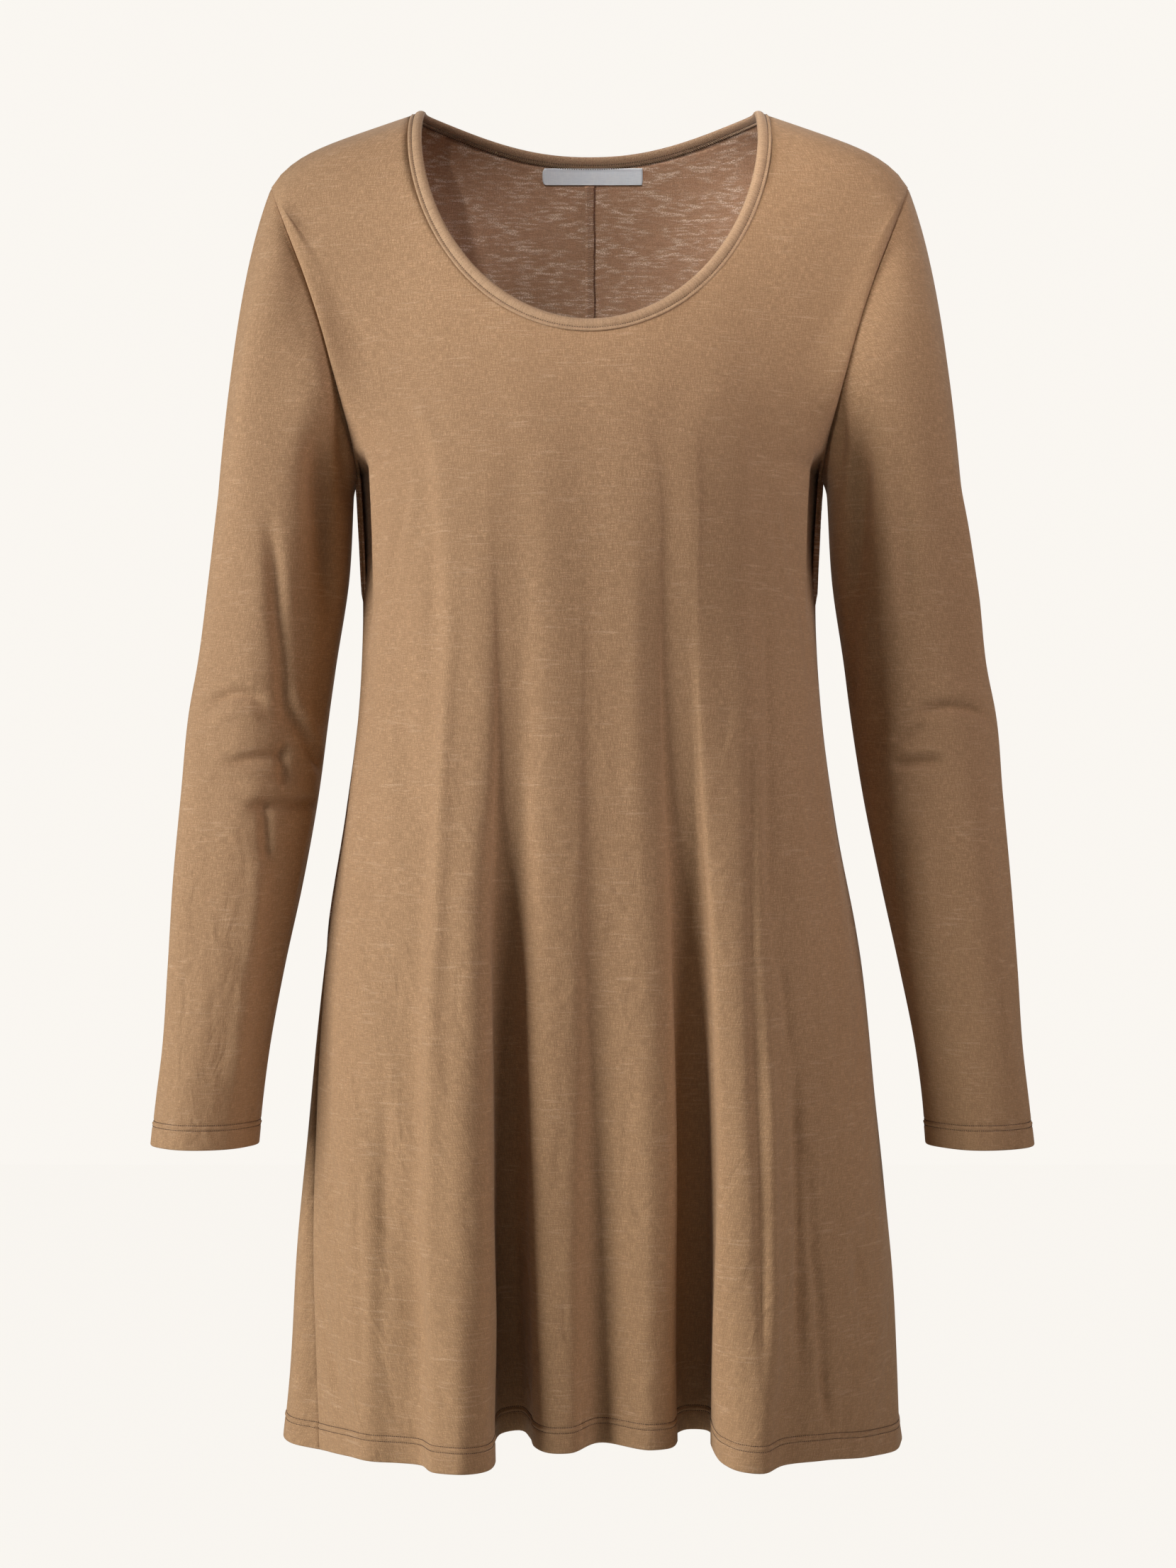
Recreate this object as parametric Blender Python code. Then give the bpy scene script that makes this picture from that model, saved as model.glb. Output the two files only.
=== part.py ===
"""Long-sleeved swing tunic in slub jersey, filled out as if worn, with nobody in it.

Metres, +Z up. The front of the garment faces -Y and the wearer's left side is at +X. The origin
lies midway between the two neck points, on the shoulder line, where a wearer holds the tunic up.
"drop" is the distance below the origin. Every piece that is cut and sewn on is one closed solid:
a cloth wall between an outer skin of grid points and an inner skin offset from it.
"""
import math

import bpy
import numpy as np

# Driving dimensions, in metres.
WALL = 0.0015              # thickness of the jersey wall
HEM_WALL = 0.0024          # two layers, where the hem is turned up
HEM_DEPTH = 0.0170         # turned hem of the body
CUFF_HEM_DEPTH = 0.0150    # turned hem of the sleeves
HEM_STEP = 0.0010          # height over which the wall grows to two layers
SEAM_GAP = 0.0003          # air between two pieces at a seam
ARMHOLE_GAP = 0.0005       # the same, along X, between a panel and the sleeve set into it

NECK_POINT_X = 0.1100      # neck seam at the shoulder line
NECK_POINT_DROP = 0.0030
NECK_HALF_WIDTH = 0.1145   # widest half of the scoop
FRONT_NECK_DROP = 0.1520   # neck seam at the centre front
BACK_NECK_DROP = 0.0205    # neck seam at the centre back

SHOULDER_TIP_X = 0.1985
SHOULDER_SLOPE = 0.0313    # fall of the straight part of the shoulder seam
SHOULDER_ROUND = 0.0130    # extra fall as the seam rounds over its tip
SHOULDER_ROUND_POWER = 7.0
TIP_DROP = NECK_POINT_DROP + SHOULDER_SLOPE + SHOULDER_ROUND

UNDERARM_DROP = 0.2256
HEM_DROP = 0.8268
CENTRE_BACK_X = 0.0025     # the centre-back seam

FRONT_POWER = 2.30         # how square the body's sections are across the front
BACK_POWER = 2.50
NECK_HOLD = 0.85           # how much of the scoop's shape the row at the shoulder tip keeps
FOLD_START_DROP = 0.1500   # the folds start to form here and are full at the hem
FOLD_GROWTH = 1.45
TURN_START_DROP = 0.1500   # between these drops the columns change from even spacing across the
TURN_END_DROP = 0.2700     # chest to spacing by angle round the body
SIDE_LEVEL_DROP = 0.4500   # the side seam is level with the shoulder seam from here down

SWELL = 0.0060             # soft fullness of the chest, each side of the centre
SWELL_X = 0.0780
SWELL_DROP = 0.2620
SWELL_WIDTH = 0.0450
SWELL_HEIGHT = 0.0750

BINDING_WIDTH = 0.0082
BINDING_OUT = 0.0008       # the binding stands this far proud of the cloth
BINDING_IN = 0.0018
BINDING_RISE = 0.0012      # width over which the band swells next to the neck seam

LABEL_LEFT = -0.0306
LABEL_RIGHT = 0.0345
LABEL_TOP_DROP = 0.0198
LABEL_HEIGHT = 0.0096
LABEL_THICKNESS = 0.0007
ALLOWANCE_LEFT = -0.0024
ALLOWANCE_RIGHT = 0.0036
ALLOWANCE_THICKNESS = 0.0010
ALLOWANCE_END = 0.0040     # the allowance stops this far above the turned hem

SLEEVE_TOP_DROP = 0.2400   # the first level ring of a sleeve, just under the underarm
SLEEVE_LEAN = 0.08         # how far a sleeve leans out at that ring, for each unit down
CAP_PULL = 0.85            # how long the sleeve cap keeps the directions of its two ends
CAP_LEAVE = {
    "out": 0.36,
    "front_out": 0.37,
    "inner_in": 0.12,
    "forward": 0.50,
    "down": 0.90,
    "front_up": 0.50,
}

# Grid resolution.
SHOULDER_ROWS = 4
ARMHOLE_ROWS = 9
SIDE_ROWS = 12
SIDE_SPREAD = 1.5          # the rows below the underarm spread out towards the hem
COLUMNS_PER_FOLD_LINE = {"front": 2, "back": 3}
CAP_ROWS = 5
LABEL_GRID = (4, 13)
SLEEVE_ROWS = 11


def table(names, rows):
    """A dictionary of named columns. Each row starts with its own name."""
    values = np.array([row[1:] for row in rows], dtype=float)
    return {name: values[:, index] for index, name in enumerate(names.split())}


# The armhole, from the shoulder tip to the underarm, on the +X side.
ARMHOLE = {
    "front": table("x y drop", [
        ("tip", SHOULDER_TIP_X, 0.0000, TIP_DROP),
        ("cap", 0.1945, -0.0145, 0.0580),
        ("upper", 0.1868, -0.0275, 0.0775),
        ("chest", 0.1732, -0.0395, 0.1125),
        ("pitch", 0.1622, -0.0465, 0.1460),
        ("hollow", 0.1562, -0.0480, 0.1680),
        ("turn", 0.1515, -0.0435, 0.1860),
        ("scoop", 0.1470, -0.0275, 0.2060),
        ("low", 0.1454, -0.0110, 0.2190),
        ("underarm", 0.1453, 0.0040, UNDERARM_DROP),
    ]),
    "back": table("x y drop", [
        ("tip", SHOULDER_TIP_X, 0.0000, TIP_DROP),
        ("cap", 0.1957, 0.0150, 0.0575),
        ("upper", 0.1900, 0.0290, 0.0780),
        ("blade", 0.1810, 0.0410, 0.1080),
        ("pitch", 0.1710, 0.0485, 0.1400),
        ("hollow", 0.1615, 0.0505, 0.1720),
        ("turn", 0.1540, 0.0440, 0.1970),
        ("scoop", 0.1482, 0.0300, 0.2140),
        ("low", 0.1457, 0.0160, 0.2225),
        ("underarm", 0.1453, 0.0040, UNDERARM_DROP),
    ]),
}

# The neck seam: its lowest drop, how square its curve is, and how it runs out into the shoulder
# line (0.5 meets it square on, 1 and more run out flat).
NECK = {
    "front": {"bottom": FRONT_NECK_DROP, "power": 2.00, "run_out": 0.50},
    "back": {"bottom": BACK_NECK_DROP, "power": 2.20, "run_out": 1.75},
}

# Depth of the centre line in front of or behind the side, and how its section rounds off
# towards the edge: 0.5 is a full round, 1 is a flat curve that meets the edge at an angle.
DEPTH = {
    "front": table("drop y bow", [
        ("above", 0.000, -0.0280, 0.50),
        ("neck", 0.010, -0.0370, 0.50),
        ("slope", 0.035, -0.0540, 0.50),
        ("tip", 0.050, -0.0610, 0.52),
        ("upper", 0.075, -0.0700, 0.58),
        ("chest", 0.105, -0.0785, 0.66),
        ("scoop", 0.151, -0.0890, 0.72),
        ("swell", 0.190, -0.1010, 0.64),
        ("underarm", UNDERARM_DROP, -0.1115, 0.56),
        ("bust", 0.270, -0.1185, 0.51),
        ("under", 0.340, -0.1190, 0.50),
        ("waist", 0.420, -0.1175, 0.50),
        ("hip", 0.550, -0.1150, 0.50),
        ("hem", HEM_DROP, -0.1120, 0.50),
    ]),
    "back": table("drop y bow", [
        ("above", 0.000, 0.0420, 0.50),
        ("neck", 0.010, 0.0530, 0.50),
        ("slope", 0.035, 0.0715, 0.50),
        ("tip", 0.050, 0.0790, 0.52),
        ("upper", 0.075, 0.0885, 0.58),
        ("blade", 0.105, 0.0965, 0.64),
        ("middle", 0.151, 0.1045, 0.70),
        ("lower", 0.190, 0.1080, 0.64),
        ("underarm", UNDERARM_DROP, 0.1080, 0.56),
        ("ribs", 0.270, 0.1050, 0.51),
        ("waist", 0.340, 0.1000, 0.50),
        ("loin", 0.420, 0.1010, 0.50),
        ("hip", 0.550, 0.1060, 0.50),
        ("hem", HEM_DROP, 0.1100, 0.50),
    ]),
}
EDGE_HOLD = 8.0            # how closely the pull of the armhole keeps to its own edge

# Half widths of the body below the underarm, on the -X side and on the +X side.
SIDE = table("drop low_x high_x", [
    ("underarm", UNDERARM_DROP, 0.1453, 0.1453),
    ("ribs", 0.2660, 0.1428, 0.1424),
    ("waist", 0.3100, 0.1413, 0.1408),
    ("loin", 0.3724, 0.1437, 0.1442),
    ("hip", 0.4388, 0.1525, 0.1530),
    ("seat", 0.5051, 0.1643, 0.1641),
    ("thigh", 0.5715, 0.1726, 0.1734),
    ("skirt", 0.6378, 0.1790, 0.1811),
    ("low", 0.7041, 0.1853, 0.1864),
    ("lower", 0.7705, 0.1896, 0.1906),
    ("hem", HEM_DROP, 0.1941, 0.1952),
])

# Each fold's crest, turn and floor, as a line that runs down the cloth: its place across the
# bust, its place and depth at the hem, how much the hem rises there, and how late it forms.
FOLDS = {
    "front": table("bust_x hem_x hem_y rise late", [
        ("seam_low_x", -0.1450, -0.1657, -0.0300, 0.0000, 2.2),
        ("low_flank", -0.1400, -0.1458, -0.0570, 0.0030, 1.5),
        ("low_swell", -0.1300, -0.1310, -0.0740, 0.0042, 1.0),
        ("low_dip", -0.1140, -0.1140, -0.0785, 0.0044, 1.0),
        ("low_rise", -0.1000, -0.1005, -0.0850, 0.0050, 1.0),
        ("low_crest_a", -0.0890, -0.0900, -0.1070, 0.0060, 1.0),
        ("low_crest_b", -0.0745, -0.0745, -0.1140, 0.0068, 1.0),
        ("low_turn", -0.0675, -0.0645, -0.1060, 0.0060, 1.0),
        ("low_edge", -0.0605, -0.0562, -0.0830, 0.0058, 1.0),
        ("low_under", -0.0565, -0.0588, -0.0610, 0.0090, 1.0),
        ("low_floor_a", -0.0520, -0.0535, -0.0450, 0.0135, 1.1),
        ("low_floor_b", -0.0450, -0.0430, -0.0425, 0.0146, 1.1),
        ("middle_rise", -0.0390, -0.0362, -0.0570, 0.0135, 1.0),
        ("middle_edge", -0.0330, -0.0322, -0.0735, 0.0125, 1.0),
        ("middle_crest_a", -0.0240, -0.0215, -0.0870, 0.0125, 1.0),
        ("middle_brow", -0.0115, -0.0120, -0.0885, 0.0128, 1.0),
        ("middle_trough", 0.0000, 0.0055, -0.0710, 0.0145, 1.0),
        ("middle_crest_b", 0.0325, 0.0370, -0.0870, 0.0140, 1.0),
        ("middle_turn", 0.0385, 0.0482, -0.0810, 0.0138, 1.0),
        ("middle_far_edge", 0.0425, 0.0526, -0.0670, 0.0140, 1.0),
        ("high_under", 0.0450, 0.0517, -0.0520, 0.0146, 1.0),
        ("high_floor_a", 0.0490, 0.0590, -0.0415, 0.0152, 1.1),
        ("high_floor_b", 0.0560, 0.0690, -0.0425, 0.0152, 1.1),
        ("high_edge", 0.0640, 0.0740, -0.0700, 0.0120, 1.0),
        ("high_rise", 0.0725, 0.0768, -0.1010, 0.0095, 1.0),
        ("high_crest_a", 0.0840, 0.0870, -0.1125, 0.0085, 1.0),
        ("high_crest_b", 0.0975, 0.1010, -0.1145, 0.0077, 1.0),
        ("high_pleat", 0.1055, 0.1136, -0.1010, 0.0090, 1.0),
        ("high_flank_a", 0.1205, 0.1391, -0.0860, 0.0080, 1.0),
        ("high_flank_b", 0.1345, 0.1680, -0.0630, 0.0040, 1.0),
        ("high_side", 0.1430, 0.1870, -0.0350, 0.0010, 1.0),
        ("high_turn", 0.1448, 0.1940, -0.0100, 0.0000, 1.0),
        ("seam_high_x", 0.1450, 0.1925, 0.0150, 0.0000, 1.0),
    ]),
    "back": table("bust_x hem_x hem_y rise late", [
        ("seam_low_x", -0.1450, -0.1657, -0.0300, 0.0000, 2.2),
        ("low_side", -0.1449, -0.1820, -0.0180, 0.0000, 1.6),
        ("low_turn", -0.1444, -0.1912, 0.0060, 0.0000, 1.0),
        ("low_flank", -0.1400, -0.1870, 0.0430, 0.0010, 1.0),
        ("low_crest", -0.1240, -0.1640, 0.0860, 0.0020, 1.0),
        ("low_trough", -0.1030, -0.1270, 0.0740, 0.0030, 1.0),
        ("low_ridge", -0.0760, -0.0930, 0.1140, 0.0020, 1.0),
        ("low_floor", -0.0470, -0.0560, 0.0880, 0.0040, 1.0),
        ("middle_ridge_a", -0.0210, -0.0240, 0.1100, 0.0020, 1.0),
        ("centre", 0.0025, 0.0030, 0.0990, 0.0030, 1.0),
        ("middle_ridge_b", 0.0270, 0.0310, 0.1120, 0.0020, 1.0),
        ("high_floor", 0.0530, 0.0630, 0.0860, 0.0040, 1.0),
        ("high_ridge", 0.0810, 0.1000, 0.1150, 0.0020, 1.0),
        ("high_trough", 0.1060, 0.1340, 0.0780, 0.0030, 1.0),
        ("high_crest", 0.1260, 0.1670, 0.0850, 0.0020, 1.0),
        ("high_flank", 0.1420, 0.1880, 0.0480, 0.0010, 1.0),
        ("seam_high_x", 0.1450, 0.1925, 0.0150, 0.0000, 1.0),
    ]),
}

# Level sections of the sleeves: inner and outer edge seen from the front, for the -X sleeve
# (low) and the +X one (high), then the middle in depth and the half depth of both.
SLEEVE = table("drop low_inner low_outer high_inner high_outer middle half_depth", [
    ("top", SLEEVE_TOP_DROP, 0.1476, 0.2312, 0.1476, 0.2316, 0.0000, 0.0490),
    ("biceps", 0.2928, 0.1502, 0.2376, 0.1506, 0.2390, 0.0020, 0.0480),
    ("above_elbow", 0.3459, 0.1582, 0.2446, 0.1586, 0.2468, 0.0030, 0.0460),
    ("elbow", 0.3724, 0.1620, 0.2495, 0.1622, 0.2528, 0.0030, 0.0445),
    ("below_elbow", 0.4255, 0.1690, 0.2543, 0.1704, 0.2572, -0.0010, 0.0410),
    ("forearm", 0.4785, 0.1785, 0.2583, 0.1806, 0.2612, -0.0070, 0.0380),
    ("middle", 0.5316, 0.1897, 0.2606, 0.1915, 0.2644, -0.0130, 0.0350),
    ("wrist", 0.5847, 0.1985, 0.2635, 0.2014, 0.2672, -0.0180, 0.0320),
    ("hem", 0.6112, 0.2014, 0.2666, 0.2048, 0.2700, -0.0200, 0.0305),
    ("cuff", 0.6408, 0.2038, 0.2697, 0.2073, 0.2731, -0.0220, 0.0295),
])

# Long soft troughs down a sleeve. Angles run from the outer side (0) over the front (90) to
# the inner side (180).
SLEEVE_FOLDS = table("angle width top bottom depth", [
    ("front_trough", 128.0, 17.0, 0.165, 0.345, 0.0050),
    ("back_trough", 235.0, 20.0, 0.200, 0.360, 0.0040),
    ("forearm_plane", 62.0, 22.0, 0.420, 0.600, 0.0022),
])


def smooth(knots, values, at):
    """Read a smooth curve through values, which stand at increasing knots."""
    knots = np.asarray(knots, dtype=float)
    values = np.asarray(values, dtype=float)
    at = np.asarray(at, dtype=float)
    slopes = np.gradient(values, knots, axis=0)
    index = np.clip(np.searchsorted(knots, at) - 1, 0, len(knots) - 2)
    span = knots[index + 1] - knots[index]
    t = np.clip((at - knots[index]) / span, 0.0, 1.0)
    if values.ndim == 2:
        t = t[..., None]
        span = span[..., None]
    start = (2 * t**3 - 3 * t**2 + 1) * values[index]
    leave = (t**3 - 2 * t**2 + t) * span * slopes[index]
    end = (3 * t**2 - 2 * t**3) * values[index + 1]
    arrive = (t**3 - t**2) * span * slopes[index + 1]
    return start + leave + end + arrive


def arc_lengths(points):
    """Distance of each point from the first, along the polyline."""
    steps = np.linalg.norm(np.diff(points, axis=0), axis=1)
    return np.concatenate([[0.0], np.cumsum(steps)])


def ramp(value, start, end):
    """0 before start, 1 after end, with a soft change between them."""
    t = np.clip((value - start) / (end - start), 0.0, 1.0)
    return t * t * (3.0 - 2.0 * t)


def unit(vectors):
    """The same directions at length 1."""
    return vectors / np.maximum(np.linalg.norm(vectors, axis=-1, keepdims=True), 1e-12)


def shoulder(fraction):
    """Point (x, y, drop) on the shoulder seam, from the neck point (0) to the tip (1)."""
    fraction = np.asarray(fraction, dtype=float)
    x = NECK_POINT_X + (SHOULDER_TIP_X - NECK_POINT_X) * fraction
    fall = SHOULDER_SLOPE * fraction + SHOULDER_ROUND * fraction**SHOULDER_ROUND_POWER
    return np.stack([x, np.zeros_like(x), NECK_POINT_DROP + fall], axis=-1)


def armhole(face, fraction):
    """Point (x, y, drop) on the armhole, from the shoulder tip (0) to the underarm (1)."""
    rows = ARMHOLE[face]
    points = np.stack([rows["x"], rows["y"], rows["drop"]], axis=-1)
    along = arc_lengths(points)
    return smooth(along, points, np.asarray(fraction) * along[-1])


def side_line(drop, sign):
    """Half width of the body below the underarm, on the -X or the +X side."""
    return smooth(SIDE["drop"], SIDE["high_x" if sign > 0 else "low_x"], drop)


def edge_samples(face, sign):
    """The panel's side edge, from the neck point to the hem, as (half width, y, drop)."""
    fractions = np.linspace(0.0, 1.0, 60)
    drops = np.linspace(UNDERARM_DROP, HEM_DROP, 80)[1:]
    widths = side_line(drops, sign)
    level = ARMHOLE[face]["y"][-1] * (1.0 - ramp(drops, UNDERARM_DROP, SIDE_LEVEL_DROP))
    below = np.stack([widths, level, drops], axis=-1)
    return np.concatenate([shoulder(fractions), armhole(face, fractions)[1:], below])


EDGES = {(face, sign): edge_samples(face, sign) for face in ("front", "back") for sign in (-1, 1)}


def chest_swell(x, drop):
    """Soft fullness of the front, each side of the centre."""
    across = np.exp(-((np.abs(x) - SWELL_X) / SWELL_WIDTH) ** 2)
    return SWELL * across * np.exp(-((drop - SWELL_DROP) / SWELL_HEIGHT) ** 2)


def section_depth(face, x, drop):
    """The y of the plain, unfolded panel at a place seen from the front."""
    power = FRONT_POWER if face == "front" else BACK_POWER
    centre = smooth(DEPTH[face]["drop"], DEPTH[face]["y"], drop)
    bow = smooth(DEPTH[face]["drop"], DEPTH[face]["bow"], drop)
    low, high = EDGES[face, -1], EDGES[face, 1]
    half = np.where(x < 0, np.interp(drop, low[:, 2], low[:, 0]), np.interp(drop, high[:, 2], high[:, 0]))
    edge_y = np.interp(drop, high[:, 2], high[:, 1])
    ratio = np.clip(np.abs(x) / half, 0.0, 1.0)
    y = centre * (1.0 - ratio**power) ** bow + edge_y * ratio**EDGE_HOLD
    if face == "front":
        y = y - chest_swell(x, drop)
    return y


def neckline(face, position):
    """Neck seam (x, drop), from the -X neck point (-1) over the centre (0) to the +X one (1)."""
    shape = NECK[face]
    angle = np.linspace(0.0, math.pi / 2, 400)
    widest = NECK_HALF_WIDTH if face == "front" else NECK_POINT_X
    pinch = (widest - NECK_POINT_X) * (1.0 - np.cos(angle)) ** 3
    x = widest * np.sin(angle) ** (2.0 / shape["power"]) - pinch
    depth = shape["bottom"] - NECK_POINT_DROP
    drop = NECK_POINT_DROP + depth * np.cos(angle) ** (2.0 * shape["run_out"])
    along = arc_lengths(np.stack([x, drop], axis=-1))
    size = np.abs(position) * along[-1]
    return np.sign(position) * np.interp(size, along, x), np.interp(size, along, drop)


def fold_lengths(face):
    """Where each fold line stands along the hem, as a distance from the low-X side seam."""
    folds = FOLDS[face]
    return arc_lengths(np.stack([folds["hem_x"], folds["hem_y"]], axis=-1))


def column_places(face, count):
    """Places of the grid's columns along the hem: count of them from each fold line to the next."""
    lengths = fold_lengths(face)
    steps = np.arange(count * (len(lengths) - 1) + 1) / count
    return np.interp(steps, np.arange(len(lengths)), lengths)


def panel_columns(face, along):
    """What each column of a panel needs, at distances along the hem."""
    folds = FOLDS[face]
    lengths = fold_lengths(face)
    power = FRONT_POWER if face == "front" else BACK_POWER
    half = side_line(UNDERARM_DROP, 1)
    share = np.clip(np.abs(folds["bust_x"]) / half, 0.0, 1.0)
    angles = np.sign(folds["bust_x"]) * np.arcsin(share ** (power / 2.0))
    angle = smooth(lengths, angles, along)
    centre = np.interp(0.0, folds["bust_x"], lengths)
    even = np.where(along < centre, (along - centre) / centre, (along - centre) / (lengths[-1] - centre))
    return {
        "even": even,
        "turned": np.sign(angle) * np.abs(np.sin(angle)) ** (2.0 / power),
        "hem_x": smooth(lengths, folds["hem_x"], along),
        "hem_y": smooth(lengths, folds["hem_y"], along),
        "rise": smooth(lengths, folds["rise"], along),
        "late": smooth(lengths, folds["late"], along),
    }


def panel_rows(face, shoulder_rows, armhole_rows, side_drops):
    """Each row's half width and drop at its ends, and how much of the scoop it keeps."""
    over = shoulder(np.linspace(0.0, 1.0, shoulder_rows + 1))
    down = armhole(face, np.linspace(0.0, 1.0, armhole_rows + 1))[1:]
    hold_over = 1.0 - (1.0 - NECK_HOLD) * np.linspace(0.0, 1.0, shoulder_rows + 1)
    hold_down = NECK_HOLD * (UNDERARM_DROP - down[:, 2]) / (UNDERARM_DROP - TIP_DROP)
    return {
        "low_x": np.concatenate([over[:, 0], down[:, 0], side_line(side_drops, -1)]),
        "high_x": np.concatenate([over[:, 0], down[:, 0], side_line(side_drops, 1)]),
        "drop": np.concatenate([over[:, 2], down[:, 2], side_drops]),
        "hold": np.concatenate([hold_over, hold_down, np.zeros(len(side_drops))]),
    }


def panel_skin(face, rows, columns):
    """Outer skin of a panel as a grid of points, one row of the grid for each row."""
    drop_end = rows["drop"][:, None]
    hold = rows["hold"][:, None]
    even = columns["even"][None, :]
    turned = columns["turned"][None, :]
    settle = ramp(drop_end, TURN_START_DROP, TURN_END_DROP)
    across = even * (1.0 - settle) + turned * settle
    half = np.where(across < 0, rows["low_x"][:, None], rows["high_x"][:, None])
    neck_x, neck_drop = neckline(face, columns["even"])
    x = across * half + hold * (neck_x[None, :] - even * NECK_POINT_X)
    drop = drop_end + hold * (neck_drop[None, :] - NECK_POINT_DROP)
    y = section_depth(face, x, drop)
    formed = np.clip((drop - FOLD_START_DROP) / (HEM_DROP - FOLD_START_DROP), 0.0, 1.0) ** FOLD_GROWTH
    formed = formed ** columns["late"][None, :]
    hem_half = np.where(columns["hem_x"] < 0, side_line(HEM_DROP, -1), side_line(HEM_DROP, 1))[None, :]
    fold_x = columns["hem_x"][None, :] / hem_half * half
    x = x + formed * (fold_x - across * half)
    y = y + formed * (columns["hem_y"][None, :] - y)
    drop = drop - formed * columns["rise"][None, :]
    return np.stack([x, y, -drop], axis=-1)


def side_drops(count):
    """Drops of the rows below the underarm, with a pair of rows where the turned hem starts."""
    hem_top = HEM_DROP - HEM_DEPTH
    spread = (np.arange(1, count + 1) / count) ** SIDE_SPREAD
    down = UNDERARM_DROP + (hem_top - HEM_STEP - UNDERARM_DROP) * spread
    return np.concatenate([down, [hem_top, HEM_DROP]])


def grid_normals(points, outward, closed=False):
    """Unit normals of a grid of points. outward is a rough direction that they should follow."""
    down = np.gradient(points, axis=0)
    if closed:
        around = (np.roll(points, -1, axis=1) - np.roll(points, 1, axis=1)) / 2.0
    else:
        around = np.gradient(points, axis=1)
    normals = unit(np.cross(around, down))
    if np.sum(normals * outward) < 0:
        normals = -normals
    return normals


def marry(first, second):
    """One shared direction for two pieces' normals at the same seam."""
    return unit(first + second)


def wall_by_row(drops, wall, hem_wall, hem_top):
    """Wall thickness of each row: one layer above the turned hem and two layers in it."""
    return np.where(drops >= hem_top - 1e-6, hem_wall, wall)


def new_object(name, vertices, faces, material):
    """A smooth-shaded mesh object."""
    mesh = bpy.data.meshes.new(name)
    mesh.from_pydata([tuple(map(float, vertex)) for vertex in vertices], [], faces)
    mesh.validate()
    mesh.shade_smooth()
    mesh.materials.append(material)
    piece = bpy.data.objects.new(name, mesh)
    bpy.context.scene.collection.objects.link(piece)
    return piece


def solid_faces(rows, columns, closed):
    """Quads of a closed wall between an outer and an inner grid, and round its open rims."""
    inner = rows * columns
    faces = []
    last = columns if closed else columns - 1
    for row in range(rows - 1):
        for column in range(last):
            near = row * columns + column
            far = row * columns + (column + 1) % columns
            faces.append((near, near + columns, far + columns, far))
            faces.append((inner + near, inner + far, inner + far + columns, inner + near + columns))
    for row, flip in ((0, False), (rows - 1, True)):
        for column in range(last):
            near = row * columns + column
            far = row * columns + (column + 1) % columns
            rim = (near, far, inner + far, inner + near)
            faces.append(rim[::-1] if flip else rim)
    if not closed:
        for column, flip in ((0, True), (columns - 1, False)):
            for row in range(rows - 1):
                near = row * columns + column
                far = near + columns
                rim = (near, far, inner + far, inner + near)
                faces.append(rim[::-1] if flip else rim)
    return faces


def outward_faces(vertices, faces):
    """The faces, turned round if they enclose a negative volume."""
    points = np.asarray(vertices)
    volume = 0.0
    for face in faces:
        for second, third in zip(face[1:-1], face[2:]):
            volume += np.dot(points[face[0]], np.cross(points[second], points[third]))
    return faces if volume > 0 else [face[::-1] for face in faces]


def wall_object(name, outer, inner, material, closed=False):
    """A cloth wall between two grids of points."""
    vertices = np.concatenate([outer.reshape(-1, 3), inner.reshape(-1, 3)])
    faces = solid_faces(outer.shape[0], outer.shape[1], closed)
    return new_object(name, vertices, outward_faces(vertices, faces), material)


def cloth_material(name, color, roughness):
    """Plain cloth colour."""
    material = bpy.data.materials.new(name)
    material.use_nodes = True
    shader = material.node_tree.nodes["Principled BSDF"]
    shader.inputs["Base Color"].default_value = (*color, 1.0)
    shader.inputs["Roughness"].default_value = roughness
    shader.inputs["Metallic"].default_value = 0.0
    material.diffuse_color = (*color, 1.0)
    return material


def nudge(edge, towards, distance):
    """Move edge points a little towards other points, to leave a gap at a seam."""
    return edge + unit(towards - edge) * distance


def body_skins():
    """Outer skins of the three body panels, with their normals."""
    drops = side_drops(SIDE_ROWS)
    skins = {}
    front = column_places("front", COLUMNS_PER_FOLD_LINE["front"])
    back = column_places("back", COLUMNS_PER_FOLD_LINE["back"])
    lines_before_centre = int(np.searchsorted(FOLDS["back"]["bust_x"], CENTRE_BACK_X))
    centre = COLUMNS_PER_FOLD_LINE["back"] * lines_before_centre
    spans = {
        "front_panel": ("front", front),
        "back_right": ("back", back[:centre + 1]),
        "back_left": ("back", back[centre:]),
    }
    for name, (face, along) in spans.items():
        rows = panel_rows(face, SHOULDER_ROWS, ARMHOLE_ROWS, drops)
        skin = panel_skin(face, rows, panel_columns(face, along))
        forward = np.array([0.0, -1.0 if face == "front" else 1.0, 0.0])
        skins[name] = {"skin": skin, "normals": grid_normals(skin, forward), "drops": rows["drop"]}
    return skins


def marry_body_seams(skins):
    """Give neighbouring panels the same normals along the seams that they share."""
    tip = SHOULDER_ROWS
    low = SHOULDER_ROWS + ARMHOLE_ROWS
    front = skins["front_panel"]["normals"]
    for name, column in (("back_right", 0), ("back_left", -1)):
        back = skins[name]["normals"]
        for rows in (slice(0, tip + 1), slice(low, None)):
            shared = marry(front[rows, column], back[rows, column])
            front[rows, column] = shared
            back[rows, column] = shared
    shared = marry(skins["back_right"]["normals"][:, -1], skins["back_left"]["normals"][:, 0])
    skins["back_right"]["normals"][:, -1] = shared
    skins["back_left"]["normals"][:, 0] = shared


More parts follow.
